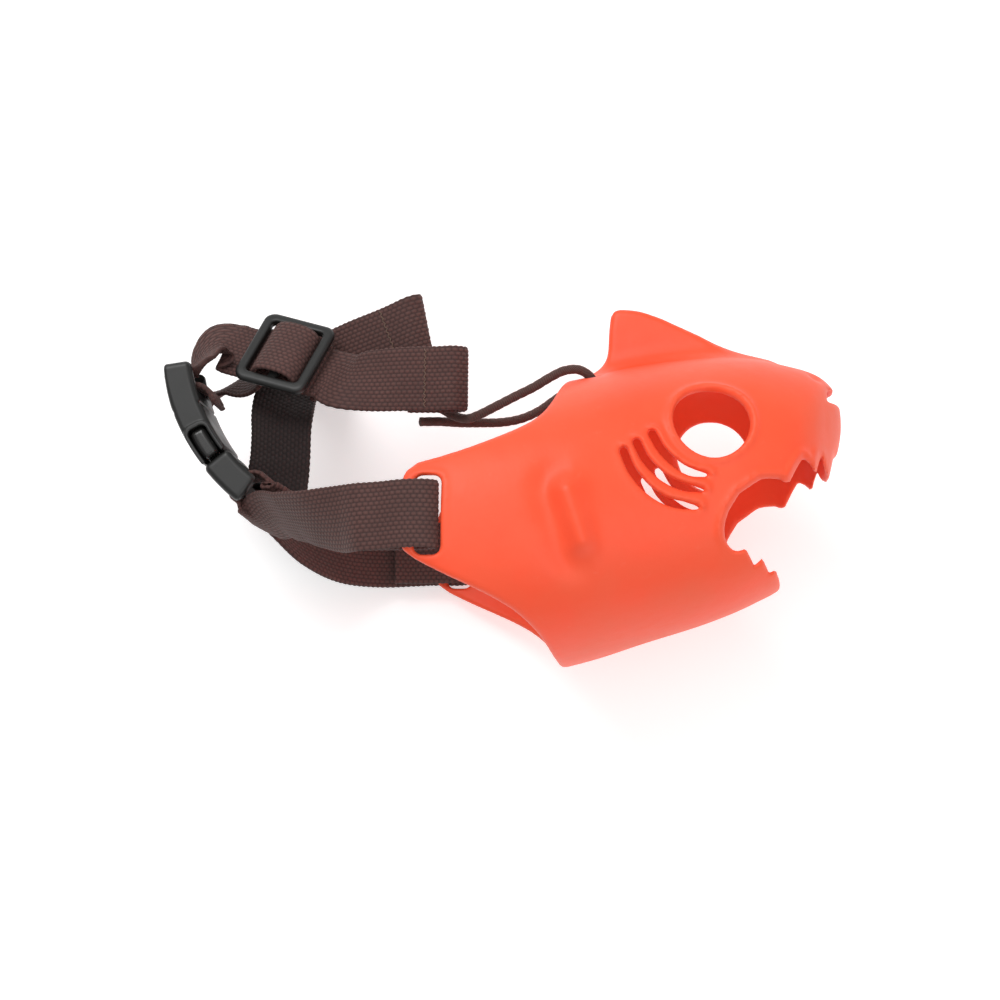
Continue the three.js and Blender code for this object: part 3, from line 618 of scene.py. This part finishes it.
def cheek_stand(px, py):
    """Height of the cheek's soft ridge, a curl of raised rubber with a hollow behind it."""
    t = np.clip(((px - 22.4) * 3.8 + (py + 3.6) * -13.4) / (3.8 ** 2 + 13.4 ** 2), 0, 1)
    curl = np.hypot(px - 22.4 - 3.8 * t, py + 3.6 + 13.4 * t)
    behind = np.clip(0.4 - 0.13 * (px - 23.5) - 0.03 * (py + 11), 0, 1.1)
    return 3.0 * bell(curl, 4.3 - 1.1 * t) - 1.2 * bell(curl - 6.8, 3.8) * behind


def gill_slots(px, py):
    """Distance to the nearest gill slot, and the height of the slots' raised lips."""
    gill = np.full(px.shape, np.inf)
    stand = 0
    for points in GILLS:
        d, left = line_distance(flat_curve(points, 24), px, py)
        slim = np.minimum(1.1, 0.45 + 0.16 * np.hypot(px - points[-1][0], py - points[-1][1]))
        gill = np.minimum(gill, d - slim)
        lip = bell(d - 1.9, 0.9)
        stand = stand + 0.7 * lip * np.clip(0.5 + left, 0, 1) + 0.2 * lip
    return gill, stand


def eye_distance(x, y, side):
    """Distance from the axis of the eye hole on either side."""
    ex, ey, ez = x - EYE_AT[0], y - EYE_AT[1], side - 36
    reach = ex * EYE_AXIS[0] + ey * EYE_AXIS[1] + ez * EYE_AXIS[2]
    return np.sqrt(np.maximum(ex * ex + ey * ey + ez * ez - reach * reach, 0))


def fin_distance(px, py, y, side):
    flat_fin = sd_polygon(fin_outline(), px, py)[:, :, None]
    half = np.clip(3.5 - (y - 36) * 0.085, 1.7, 3.6)
    over = np.stack(np.broadcast_arrays(flat_fin + FIN_ROUND, side - half + FIN_ROUND))
    return np.sqrt((np.maximum(over, 0) ** 2).sum(0)) + np.minimum(over.max(0), 0) - FIN_ROUND


def shell_field(x, y, z, step):
    """The moulding as a signed distance: a wall with raised features, less its openings."""
    head = head_distance(x, y, z, step)
    px, py = np.broadcast_arrays(x[:, :, 0], y[:, :, 0])
    side = np.abs(z - MID)
    gill, lips = gill_slots(px, py)
    stand = cheek_stand(px, py) + lips
    mouth = sd_polygon(mouth_outline(), px, py)
    fade = np.clip((py + 19) / 5, 0.0, 1) * np.clip((94 - px) / 8, 0, 1)
    stand = stand + 0.85 * bell(mouth - 1.5, 0.8) * fade
    slot = rounded_box((px + 15.95, py + 10), (3.65, 10.9), 2.2)
    stand = stand + 0.25 * bell(slot - 1.2, 0.8)
    stand = stand[:, :, None] * np.clip((side - 8) / 14, 0, 1)
    eye = eye_distance(x, y, side)
    stand = stand + 0.9 * bell(eye - EYE_RADIUS - 1.3, 1.0)
    nx, ny, nz = NOSTRIL_AT
    nostril = np.sqrt(((x - nx) / 2.0) ** 2 + ((y - ny) / 1.7) ** 2 + ((side - nz) / 2.8) ** 2)
    stand = stand - 2.1 * bell(nostril, 0.9)
    outer = smooth_min(head - stand, fin_distance(px, py, y, side), 6.5)
    wall = smooth_max(outer, np.minimum(stand, 0) - head - WALL, 0.9)
    # the openings
    wall = smooth_max(wall, sd_polygon(kept_outline(), px, py)[:, :, None], 1.5)
    wall = smooth_max(wall, -mouth[:, :, None], 1.3)
    wall = smooth_max(wall, -gill[:, :, None], 0.9)
    wall = smooth_max(wall, -slot[:, :, None], 1.0)
    wall = smooth_max(wall, EYE_RADIUS - eye, 1.3)
    wall = smooth_max(wall, -sd_polygon(NOSE_NOTCH, px, py)[:, :, None], 1.2)
    hole = np.hypot(x - CORD_HOLE_X, side - CORD_HOLE_REACH)
    hole = np.where(y > 20, hole, 50)
    return smooth_max(wall, CORD_HOLE_RADIUS - hole, 1.0)


def add_shell():
    step = 0.7
    lo, hi = np.array([-25.4, -55.0, -0.2]), np.array([99.4, 57.6, 110.2])
    x, y, z = grid(lo, hi, step)
    field = shell_field(x, y, z, step).astype(np.float32)
    vertices, faces = surface(field, lo, step)
    piece = mesh_object("shell_moulding", row(vertices), faces)
    keep_largest(piece)
    smooth_mesh(piece, 3, 0.5)
    dress(piece, SILICONE, "silicone", "muzzle", "muzzle_shell")


def keep_largest(piece):
    """Drops loose scraps: everything but the largest connected part of the mesh."""
    mesh = piece.data
    count = len(mesh.vertices)
    edges = np.zeros(len(mesh.edges) * 2, np.int32)
    mesh.edges.foreach_get("vertices", edges)
    a, b = edges.reshape(-1, 2).T
    label = np.arange(count)
    while True:
        low = label.copy()
        np.minimum.at(low, a, label[b])
        np.minimum.at(low, b, label[a])
        low = low[low]
        if np.array_equal(low, label):
            break
        label = low
    main = np.bincount(label).argmax()
    if (label != main).any():
        import bmesh
        bm = bmesh.new()
        bm.from_mesh(mesh)
        bm.verts.ensure_lookup_table()
        bmesh.ops.delete(bm, geom=[bm.verts[i] for i in np.flatnonzero(label != main)], context="VERTS")
        bm.to_mesh(mesh)
        bm.free()


def smooth_mesh(piece, rounds, factor):
    mesh = piece.data
    co = np.zeros(len(mesh.vertices) * 3)
    mesh.vertices.foreach_get("co", co)
    co = co.reshape(-1, 3)
    edges = np.zeros(len(mesh.edges) * 2, np.int32)
    mesh.edges.foreach_get("vertices", edges)
    a, b = edges.reshape(-1, 2).T
    degree = np.bincount(a, minlength=len(co)) + np.bincount(b, minlength=len(co))
    for _ in range(rounds):
        for sign in (factor, -factor * 1.03):
            total = np.zeros_like(co)
            for k in range(3):
                total[:, k] = (np.bincount(a, co[b, k], len(co)) + np.bincount(b, co[a, k], len(co)))
            co = co + sign * (total / np.maximum(degree, 1)[:, None] - co)
    mesh.vertices.foreach_set("co", co.ravel())
    mesh.update()


add_shell()

# ---- webbing ----
UP, NEAR, FAR = (0, 1, 0), (0, 0, 1), (0, 0, -1)
NEAR_TAB_Z, FAR_TAB_Z = MID + 51.2, MID - 51.2
WIDE = tuple(SLIDER_ACROSS)


def arc_point(degrees, radius, z=BUCKLE_Z):
    a = math.radians(degrees)
    return (ARC[0] + radius * math.cos(a), ARC[1] + radius * math.sin(a), z)


def on_slider(along, across, out):
    return tuple(SLIDER_AT + SLIDER_ALONG * along + SLIDER_ACROSS * across + SLIDER_OUT * out)


SIDE_STRAP_NEAR = [
    (-35.5, -10.4, NEAR_TAB_Z - 2.6, *UP), (-30, -10.3, NEAR_TAB_Z - 3, *UP),
    (-24, -10.1, NEAR_TAB_Z - 4.1, *UP), (-16.4, -10, NEAR_TAB_Z - 3.9, *UP),
    (-13.6, -10, NEAR_TAB_Z, *UP), (-16.4, -10, NEAR_TAB_Z + 2.7, *UP),
    (-22.5, -10.1, NEAR_TAB_Z + 2.8, *UP), (-29, -10.5, NEAR_TAB_Z + 0.8, *UP),
    (-35, -10.8, NEAR_TAB_Z - 0.4, 0, 0.99, 0.05), (-40.8, -10.8, NEAR_TAB_Z - 6, 0, 0.92, 0.38),
    (-50, -9.8, 91, -0.06, 0.66, 0.75), (-57, -8, 81, -0.15, 0.5, 0.85),
    (-63.4, -6.2, 70, -0.2, 0.5, 0.84), (-67.6, -7, 63, -0.08, 0.34, 0.93),
    (*arc_point(234.6, 63, 61), *NEAR), (*arc_point(231.4, 61.1), *NEAR),
    (*arc_point(229, 61), *NEAR), (*arc_point(227.3, 58.8), *NEAR), (*arc_point(227.1, 56), *NEAR),
    (*arc_point(228.2, 53.2), *NEAR), (*arc_point(230.8, 51.2), *NEAR),
    (*arc_point(234.4, 51.4), *NEAR), (*arc_point(238.6, 54.2, 62), 0, 0.15, 0.99),
    (-59.6, -1.8, 66, -0.1, 0.3, 0.95), (-56, -1.4, 70, -0.2, 0.4, 0.9),
]
SIDE_STRAP_FAR = [
    (-35.5, -10.6, FAR_TAB_Z + 5.4, *UP), (-30, -10.5, FAR_TAB_Z + 4, *UP),
    (-24, -10.4, FAR_TAB_Z + 4.1, *UP), (-16.4, -10.3, FAR_TAB_Z + 3.9, *UP),
    (-13.6, -10.3, FAR_TAB_Z, *UP), (-16.4, -10.4, FAR_TAB_Z - 2.8, *UP),
    (-19.4, -10.4, FAR_TAB_Z - 2.8, *UP), (-22.4, -10.4, FAR_TAB_Z - 2.8, *UP),
    (-25.4, -10.4, FAR_TAB_Z - 2.8, *UP), (-30, -10.8, FAR_TAB_Z - 0.9, *UP),
    (-40, -11.6, FAR_TAB_Z + 3.8, *UP), (-51, -11.4, 16, 0, 0.97, -0.2),
    (-61, -8.6, 26, 0, 0.8, -0.6), (-69, -3.6, 33.5, 0, 0.5, -0.87),
    (*arc_point(225, 61, 36), *FAR), (*arc_point(213, 61, 36.6), *FAR),
    (*arc_point(201.5, 60, 36.8), *FAR), (-89.6, 32.6, 36.8, 0.1, 0.1, -0.99),
    (-84, 34.8, 38.4, 0.2, 0.3, -0.93), (-77.6, 37.4, 42.6, 0.3, 0.5, -0.8),
    (-71.8, 38.4, 49.6, *WIDE), (*on_slider(-5.5, 0, -7.4), *WIDE),
]
HEAD_STRAP = [
    (*arc_point(202.4, 49.6), *FAR), (*arc_point(198.6, 50), *FAR), (*arc_point(195.8, 52), *FAR),
    (*arc_point(194.8, 55.2), *FAR), (*arc_point(194.5, 58.2), *FAR), (*arc_point(193, 60.3), *FAR),
    (*arc_point(190.8, 60.5), *FAR), (*arc_point(189.1, 58.4), *FAR),
    (*arc_point(188.9, 55.8), *FAR), (*arc_point(189.4, 53), -0.05, 0.1, -0.99),
    (-86.4, 39.6, 60.2, -0.2, 0.36, -0.91), (-84.6, 43.2, 58.2, -0.1, 0.58, -0.81),
    (-81.8, 45.4, 56.6, 0.14, 0.74, -0.66), (*on_slider(-17.6, 0, -4.1), *WIDE),
    (*on_slider(-15.4, 0, -4.3), *WIDE), (*on_slider(-9, 0, -4.3), *WIDE),
    (*on_slider(0, 0, -4.3), *WIDE), (*on_slider(8, 0, -4.3), *WIDE),
    (*on_slider(14.4, 0, -4.3), *WIDE), (-43.4, 33.2, 65.8, 0.25, 0.9, -0.35),
    (-36.5, 33, 67.8, 0.15, 0.97, -0.15), (-27, 33.1, 69.7, 0.06, 1, -0.03),
    (-18, 33.1, 70.6, 0.02, 1, 0), (-12.2, 33.2, 71.2, *UP), (-9.2, 33.2, 68.6, *UP),
    (-12.2, 33.2, 65.8, *UP), (-18, 33.1, 66.4, *UP), (-26, 33, 67.2, 0.04, 1, 0),
]
FOLD_SEAM = 21.7  # the station of HEAD_STRAP that is sewn down
HEAD_STRAP_REAR = [
    (-66.4, 2.6, 49, -0.98, -0.1, -0.1), (-65.6, 7, 49.8, -0.98, -0.05, -0.15),
    (-64.8, 13, 51.4, -0.96, 0.0, -0.2), (-64.4, 22.6, 52.2, -0.96, 0.14, -0.2),
    (-64.4, 31, 46.6, -0.98, 0.2, -0.1), (-63, 38.4, 40, -0.98, 0.15, -0.05),
    (-62, 42, 31, -0.99, 0.1, 0), (-61.2, 42.6, 20, -0.99, 0.1, 0), (-61, 42.8, 9.5, -0.99, 0.1, 0),
    (-60.9, 44.6, 3.4, -0.99, 0.1, 0), (-60.8, 48.6, 1.2, -0.99, 0.1, 0),
    (-60.7, 54.6, 0.95, -0.99, 0.1, 0),
]
STRAP_TAIL = [
    (-58.6, 38.8, 48.9, -0.3, 0.95, -0.1), (-50, 41.4, 51, -0.3, 0.95, -0.1),
    (-41, 44.4, 54, -0.27, 0.96, 0), (-32.4, 47.4, 56, -0.23, 0.97, 0),
    (-25, 50.5, 56.8, -0.2, 0.98, 0), (-22.4, 51.5, 55, -0.2, 0.98, 0),
    (-25, 50.5, 53.2, -0.2, 0.98, 0), (-34, 46.8, 52.8, -0.23, 0.97, 0),
]
HEM_SEAM = 3.0  # the same for STRAP_TAIL
SLIDER_BRIDGE = [(*on_slider(a, 0, out), *WIDE) for a, out in (
    (-11, -2.5), (-8.6, -2.55), (-6.9, -1.7), (-6.2, 0.2), (-4.8, 2), (-2.5, 2.9), (0, 3.1),
    (2.5, 2.9), (4.8, 2), (6.2, 0.2), (6.9, -1.7), (8.6, -2.55), (11, -2.5))]


def strap_frames(stations, step):
    """Centre, width and face directions, and length so far, at even steps along a strap."""
    s = np.asarray(stations, float)
    t, run = even_parameters(s[:, :3], step)
    point = curve_at(s[:, :3], t)
    along = unit(np.gradient(point, axis=0))
    wide = curve_at(s[:, 3:], t, False)
    wide = unit(wide - along * (wide * along).sum(1)[:, None])
    return point, wide, np.cross(along, wide), run


def weave_height(u, v):
    """Height of the woven face: staggered beads, each row half a bead on from the last."""
    rows = np.floor(u / WEAVE_ROW)
    across = np.abs(np.cos(np.pi * (u / WEAVE_ROW - rows - 0.5)))
    along = np.abs(np.cos(np.pi * (v / WEAVE_BEAD + 0.5 * (rows % 2))))
    return 0.17 * (across ** 0.7) * (0.25 + 0.75 * along ** 0.7)


def webbing_piece(name, stations, material, body, nodes):
    point, wide, face, run = strap_frames(stations, 0.4)
    half = WEB_WIDTH / 2
    inner = np.arange(-half + 0.3, half - 0.29, WEAVE_ROW / 4)
    u = np.concatenate([[-half, -half + 0.1], inner, [half - 0.1, half]])
    thick = WEB_THICKNESS / 2 * (1 - np.abs(u / half) ** 16) ** 0.5
    us, vs = np.meshgrid(u, run)
    lift = weave_height(us + half, vs) * (np.abs(us) < half - 0.2)
    edge = 0.10 * np.sin(vs * 2 * np.pi / WEAVE_BEAD) * (np.abs(us) > half - 0.2)
    centre = point[:, None] + (us + np.sign(us) * edge)[..., None] * wide[:, None]
    front = centre + (thick - 0.08 + lift)[..., None] * face[:, None]
    behind = centre - (thick - 0.08 + lift)[..., None] * face[:, None]
    ring = np.concatenate([front, behind[:, -2:0:-1]], axis=1)
    uv_u = np.concatenate([us, us[:, -2:0:-1]], axis=1) + half
    uv_v = np.concatenate([vs, vs[:, -2:0:-1]], axis=1)
    n = ring.shape[1]
    i, j = np.meshgrid(np.arange(len(run) - 1), np.arange(n), indexing="ij")
    k = (j + 1) % n
    quads = np.stack([i * n + j, (i + 1) * n + j, (i + 1) * n + k, i * n + k], -1)
    faces = quads.reshape(-1, 4).tolist()
    m = len(u)
    last = (len(run) - 1) * n
    for a in range(m - 1):
        b1 = max((n - a - 1) % n, m - 1)
        quad = [a, a + 1, b1, (n - a) % n]
        quad = [q for c, q in enumerate(quad) if q not in quad[:c]]
        faces.append(quad)
        faces.append([q + last for q in quad[::-1]])
    vertices = row(ring.reshape(-1, 3))
    uv = np.stack([uv_u, uv_v], -1).reshape(-1, 2)
    piece = mesh_object(name, vertices, faces, uv)
    return dress(piece, material, "webbing", body, *nodes)


webbing_piece("side_webbing_near", SIDE_STRAP_NEAR, WEB, "muzzle", ["side_strap_near"])
webbing_piece("side_webbing_far", SIDE_STRAP_FAR, WEB, "muzzle", ["side_strap_far"])
head_web = webbing_piece("head_webbing", HEAD_STRAP, WEB, None, ["buckle_loop", "head_strap_front"])
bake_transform(head_web)
# the rear head strap gets the darkened webbing: painted shade for the shadow it lies in
webbing_piece("head_webbing_rear", HEAD_STRAP_REAR, WEB_PAINTED_SHADE, "muzzle", ["head_strap_rear"])
webbing_piece("spare_webbing", STRAP_TAIL, WEB, "muzzle", ["strap_tail"])
webbing_piece("slider_webbing", SLIDER_BRIDGE, WEB, "slider", ["slider_bridge"])


# ---- stitching ----
STITCH_PITCH = 1.6
STITCH_SWING = 0.25
STITCH_LIFT = 0.12
THREAD_RADIUS = 0.15


def seam(stations, at, low, high):
    """A row of thread across a strap's face, at millimetres along it, between two widths."""
    point, wide, face, run = strap_frames(stations, 0.1)
    count = int((high - low) / (STITCH_PITCH / 12))
    u = np.linspace(low, high, count)
    phase = (u - low) / STITCH_PITCH
    v = at + STITCH_SWING * (2 * np.abs((phase % 1) * 2 - 1) - 1)
    dip = np.abs(np.sin(np.pi * phase * 2)) ** 0.5
    where = np.interp(v, run, np.arange(len(run)))
    i = np.clip(np.round(where).astype(int), 0, len(run) - 1)
    height = WEB_THICKNESS / 2 + STITCH_LIFT + 0.22 * dip - 0.1
    line = point[i] + wide[i] * u[:, None] + face[i] * height[:, None]
    return tube(line, THREAD_RADIUS, 6)


def at_station(stations, index):
    """Millimetres along a strap to a (possibly fractional) station."""
    s = np.asarray(stations, float)[:, :3]
    dense = np.linspace(0, index, 400)
    return float(np.linalg.norm(np.diff(curve_at(s, dense), axis=0), axis=1).sum())


def seams(name, stations, places, reach, nodes):
    """Rows of thread at some places along a strap, each reaching as far either side."""
    vertices, faces, uv = joined([seam(stations, at, -reach, reach) for at in places])
    piece = mesh_object(name, row(vertices), faces, uv)
    dress(piece, THREAD, "thread", "muzzle", *nodes)


near_at = at_station(SIDE_STRAP_NEAR, 7.25)
far_at = at_station(SIDE_STRAP_FAR, 9.6)
junction_at = at_station(SIDE_STRAP_NEAR, 12.3)
seams("stitching_near_tab", SIDE_STRAP_NEAR, [near_at - 1.0, near_at + 1.2], 8.2,
      ["stitch_near_tab_a", "stitch_near_tab_b"])
seams("stitching_far_tab", SIDE_STRAP_FAR, [far_at - 1.2, far_at + 1.4], 8.2,
      ["stitch_far_tab_a", "stitch_far_tab_b"])
seams("stitching_junction", SIDE_STRAP_NEAR, [junction_at], 8.2, ["stitch_junction"])
seams("stitching_fold", HEAD_STRAP, [at_station(HEAD_STRAP, FOLD_SEAM)], 8.4, ["stitch_fold"])
seams("stitching_hem", STRAP_TAIL, [at_station(STRAP_TAIL, HEM_SEAM)], 8.4, ["stitch_hem"])


# ---- buckle ----
# Angles are degrees round the arc; a strap end is its outer edge, the bar's two edges and the
# far edge of the slot behind the bar.
FEMALE_STRAP_END = (184, 190.4, 192.8, 196.8)
MALE_STRAP_END = (238, 231.2, 229, 225.6)
FEMALE_REACH = (188.4, 218.5)
MALE_REACH = (219, 232.4)
WINDOW = (208.6, 224, 54.3, 59.9, 9, 20, 1.6)  # the side window for an arm's pad
BAR_RADII = (55.4, 59)
BAR_HALF = 10.1
ARM_RADII = (55.2, 59)


def arc_length(degrees):
    return math.radians(degrees) * BUCKLE_MEAN


def arc_box(a, r, z, a0, a1, r0, r1, z0, z1, radius):
    """A rounded block of the curved buckle, in lengths round the arc, radii and heights."""
    low, high = arc_length(a0), arc_length(a1)
    q = (a - (low + high) / 2, r - (r0 + r1) / 2, z - (z0 + z1) / 2)
    return rounded_box(q, ((high - low) / 2, (r1 - r0) / 2, (z1 - z0) / 2), radius)


def cut_strap_end(field, a, r, z, outer, bar_outer, bar_inner, slot_inner):
    def box(one, two, r0, r1):
        return arc_box(a, r, z, min(one, two), max(one, two), r0, r1, -BAR_HALF, BAR_HALF, 0.5)
    field = smooth_max(field, -box(bar_inner, slot_inner, 40, 75), 0.6)
    field = smooth_max(field, -box(outer, bar_outer, 40, 75), 0.6)
    field = smooth_max(field, -box(outer, slot_inner, 40, BAR_RADII[0]), 0.6)
    return smooth_max(field, -box(outer, slot_inner, BAR_RADII[1], 75), 0.6)


def buckle_piece(name, field_of, a0, a1, material, slot, body, nodes):
    step = 0.3
    lo = np.array([arc_length(a0) - 1.2, 50.4, -15.6])
    hi = np.array([arc_length(a1) + 1.2, 64.2, 15.6])
    a, r, z = grid(lo, hi, step)
    vertices, faces = surface(field_of(a, r, z), lo, step)
    angle = vertices[:, 0] / BUCKLE_MEAN
    x = ARC[0] + vertices[:, 1] * np.cos(angle)
    y = ARC[1] + vertices[:, 1] * np.sin(angle)
    placed = np.stack([x, y, BUCKLE_Z + vertices[:, 2]], 1)
    piece = mesh_object(name, row(placed), faces[:, ::-1])
    face_out(piece)
    keep_largest(piece)
    smooth_mesh(piece, 2, 0.5)
    return dress(piece, material, slot, body, *nodes)


def face_out(piece):
    """Turns the faces outward if the mesh's volume comes out negative."""
    import bmesh
    bm = bmesh.new()
    bm.from_mesh(piece.data)
    if bm.calc_volume(signed=True) < 0:
        bmesh.ops.reverse_faces(bm, faces=bm.faces[:])
    bm.to_mesh(piece.data)
    bm.free()


def female_field(a, r, z):
    side = np.abs(z)
    body = arc_box(a, r, z, *FEMALE_REACH, BUCKLE_R0, BUCKLE_R1, -BUCKLE_HALF, BUCKLE_HALF, 1.7)
    # the outer face runs thinner towards the strap bar
    thin = np.clip((arc_length(200) - a) / arc_length(11), 0, 1)
    body = smooth_max(body, r - BUCKLE_R1 + 0.9 * thin, 1.0)
    cavity = arc_box(a, r, z, 200, 224, 54.7, 59.5, -11.8, 11.8, 0.5)
    body = smooth_max(body, -cavity, 0.3)
    window = arc_box(a, r, side, *WINDOW)
    body = smooth_max(body, -window, 0.8)
    body = cut_strap_end(body, a, r, z, *FEMALE_STRAP_END)
    # a moulded rim round the window and a crease above it
    rim = np.maximum(np.abs(window - 0.6) - 0.5, side - BUCKLE_HALF - 0.35)
    rim = np.maximum(np.maximum(rim, BUCKLE_HALF - 0.6 - side), a - arc_length(218.4))
    body = smooth_min(body, rim, 0.5)
    crease = np.abs(a - arc_length(202)) - 0.35
    return smooth_max(body, -np.maximum(crease, 3.9 - np.abs(r - 57.1)), 0.4)


def male_field(a, r, z):
    body = arc_box(a, r, z, *MALE_REACH, BUCKLE_R0, BUCKLE_R1, -BUCKLE_HALF, BUCKLE_HALF, 1.7)
    body = cut_strap_end(body, a, r, z, *MALE_STRAP_END)
    tongue = arc_box(a, r, z, 202.4, 221, 55.3, 58.9, -2.6, 2.6, 0.6)
    return smooth_min(body, tongue, 0.6)


def arm_field(side):
    """The sprung arm on one side: its beam, the pad in the window and the hook at its tip."""
    def field(a, r, z):
        h = z * side
        arm = arc_box(a, r, h, 202.6, 218.6, *ARM_RADII, 7.4, 9.8, 0.5)
        pad = arc_box(a, r, h, 209.2, 218, 54.9, 59.3, 8.6, 13.2, 1.4)
        middle = (arc_length(209.2) + arc_length(218)) / 2
        pad = pad - 0.25 * np.clip(1 - ((a - middle) / 5) ** 2, 0, 1)
        hook = arc_box(a, r, h, 202.6, 206.6, *ARM_RADII, 9.0, 11.2, 0.5)
        return smooth_min(smooth_min(arm, pad, 0.8), hook, 0.5)
    return field


buckle_piece("buckle_socket", female_field, 186.4, 220, BUCKLE_PLASTIC, "buckle_plastic", "buckle_top",
             ["buckle_female"])
buckle_piece("buckle_plug", male_field, 201, 234.6, BUCKLE_PLASTIC, "buckle_plastic", "muzzle",
             ["buckle_male"])
for arm, arm_side in (("near", 1), ("far", -1)):
    buckle_piece("release_arm_" + arm, arm_field(arm_side), 201, 220, ARM_PLASTIC,
                 "buckle_arm_plastic", "arm_" + arm, ["buckle_arm_" + arm])


# ---- slider ----
def add_slider():
    step = 0.25
    lo, hi = np.array([-12.4, -14.2, -2.6]), np.array([12.4, 14.2, 2.6])
    a, w, h = grid(lo, hi, step)
    flat = rounded_box((a, w), (11.1, 13), 3.4)
    crown = 1.4 - 0.35 * np.clip((np.abs(w) - 9.5) / 3.5, 0, 1) ** 2
    plate = smooth_max(flat, np.abs(h) - crown, 1.3)
    window = rounded_box((a, w), (8.1, 9.9), 1.2)
    plate = smooth_max(plate, -window, 0.9)
    bar = rounded_box((a, w, h + 0.25), (1.4, 10.8, 1.15), 0.9)
    vertices, faces = surface(smooth_min(plate, bar, 0.5), lo, step)
    placed = SLIDER_AT + vertices @ np.stack([SLIDER_ALONG, SLIDER_ACROSS, SLIDER_OUT])
    piece = mesh_object("slider_moulding", row(placed), faces)
    face_out(piece)
    keep_largest(piece)
    smooth_mesh(piece, 2, 0.5)
    dress(piece, SLIDER_PLASTIC, "slider_plastic", "slider", "slider_frame")


add_slider()


# ---- stage and light ----
def add_stage():
    mesh = bpy.data.meshes.new("floor")
    size = 1.6
    corners = [(-size, -size, 0), (size, -size, 0), (size, size, 0), (-size, size, 0)]
    mesh.from_pydata(corners, [], [(0, 1, 2, 3)])
    floor = bpy.data.objects.new("floor", mesh)
    scene.collection.objects.link(floor)
    floor.location.z = -0.0004
    look = Look("floor", (0.86, 0.86, 0.86), 0.95)
    look.shader.inputs["Emission Color"].default_value = (1, 1, 1, 1)
    look.shader.inputs["Emission Strength"].default_value = 0.42
    floor.data.materials.append(look.material)


def add_light(name, position, target, size, power):
    data = bpy.data.lights.new(name, "AREA")
    data.shape = "DISK"
    data.size = size
    data.energy = power
    light = bpy.data.objects.new(name, data)
    direction = Vector(target) - Vector(position)
    turn = direction.to_track_quat("-Z", "Y").to_matrix().to_4x4()
    light.matrix_world = Matrix.Translation(position) @ turn
    scene.collection.objects.link(light)


add_stage()
add_light("key", (-0.25, 0.55, 0.75), (0.0, 0.0, 0.05), 0.55, KEY_POWER)
add_light("fill", (0.5, -0.35, 0.7), (0.0, 0.0, 0.05), 0.7, FILL_POWER)
add_light("top", (0.0, 0.05, 1.1), (0.0, 0.0, 0.0), 0.9, TOP_POWER)
world = bpy.data.worlds.new("world")
scene.world = world
world.use_nodes = True
world.node_tree.nodes["Background"].inputs[0].default_value = (1, 1, 1, 1)
world.node_tree.nodes["Background"].inputs[1].default_value = WORLD_STRENGTH
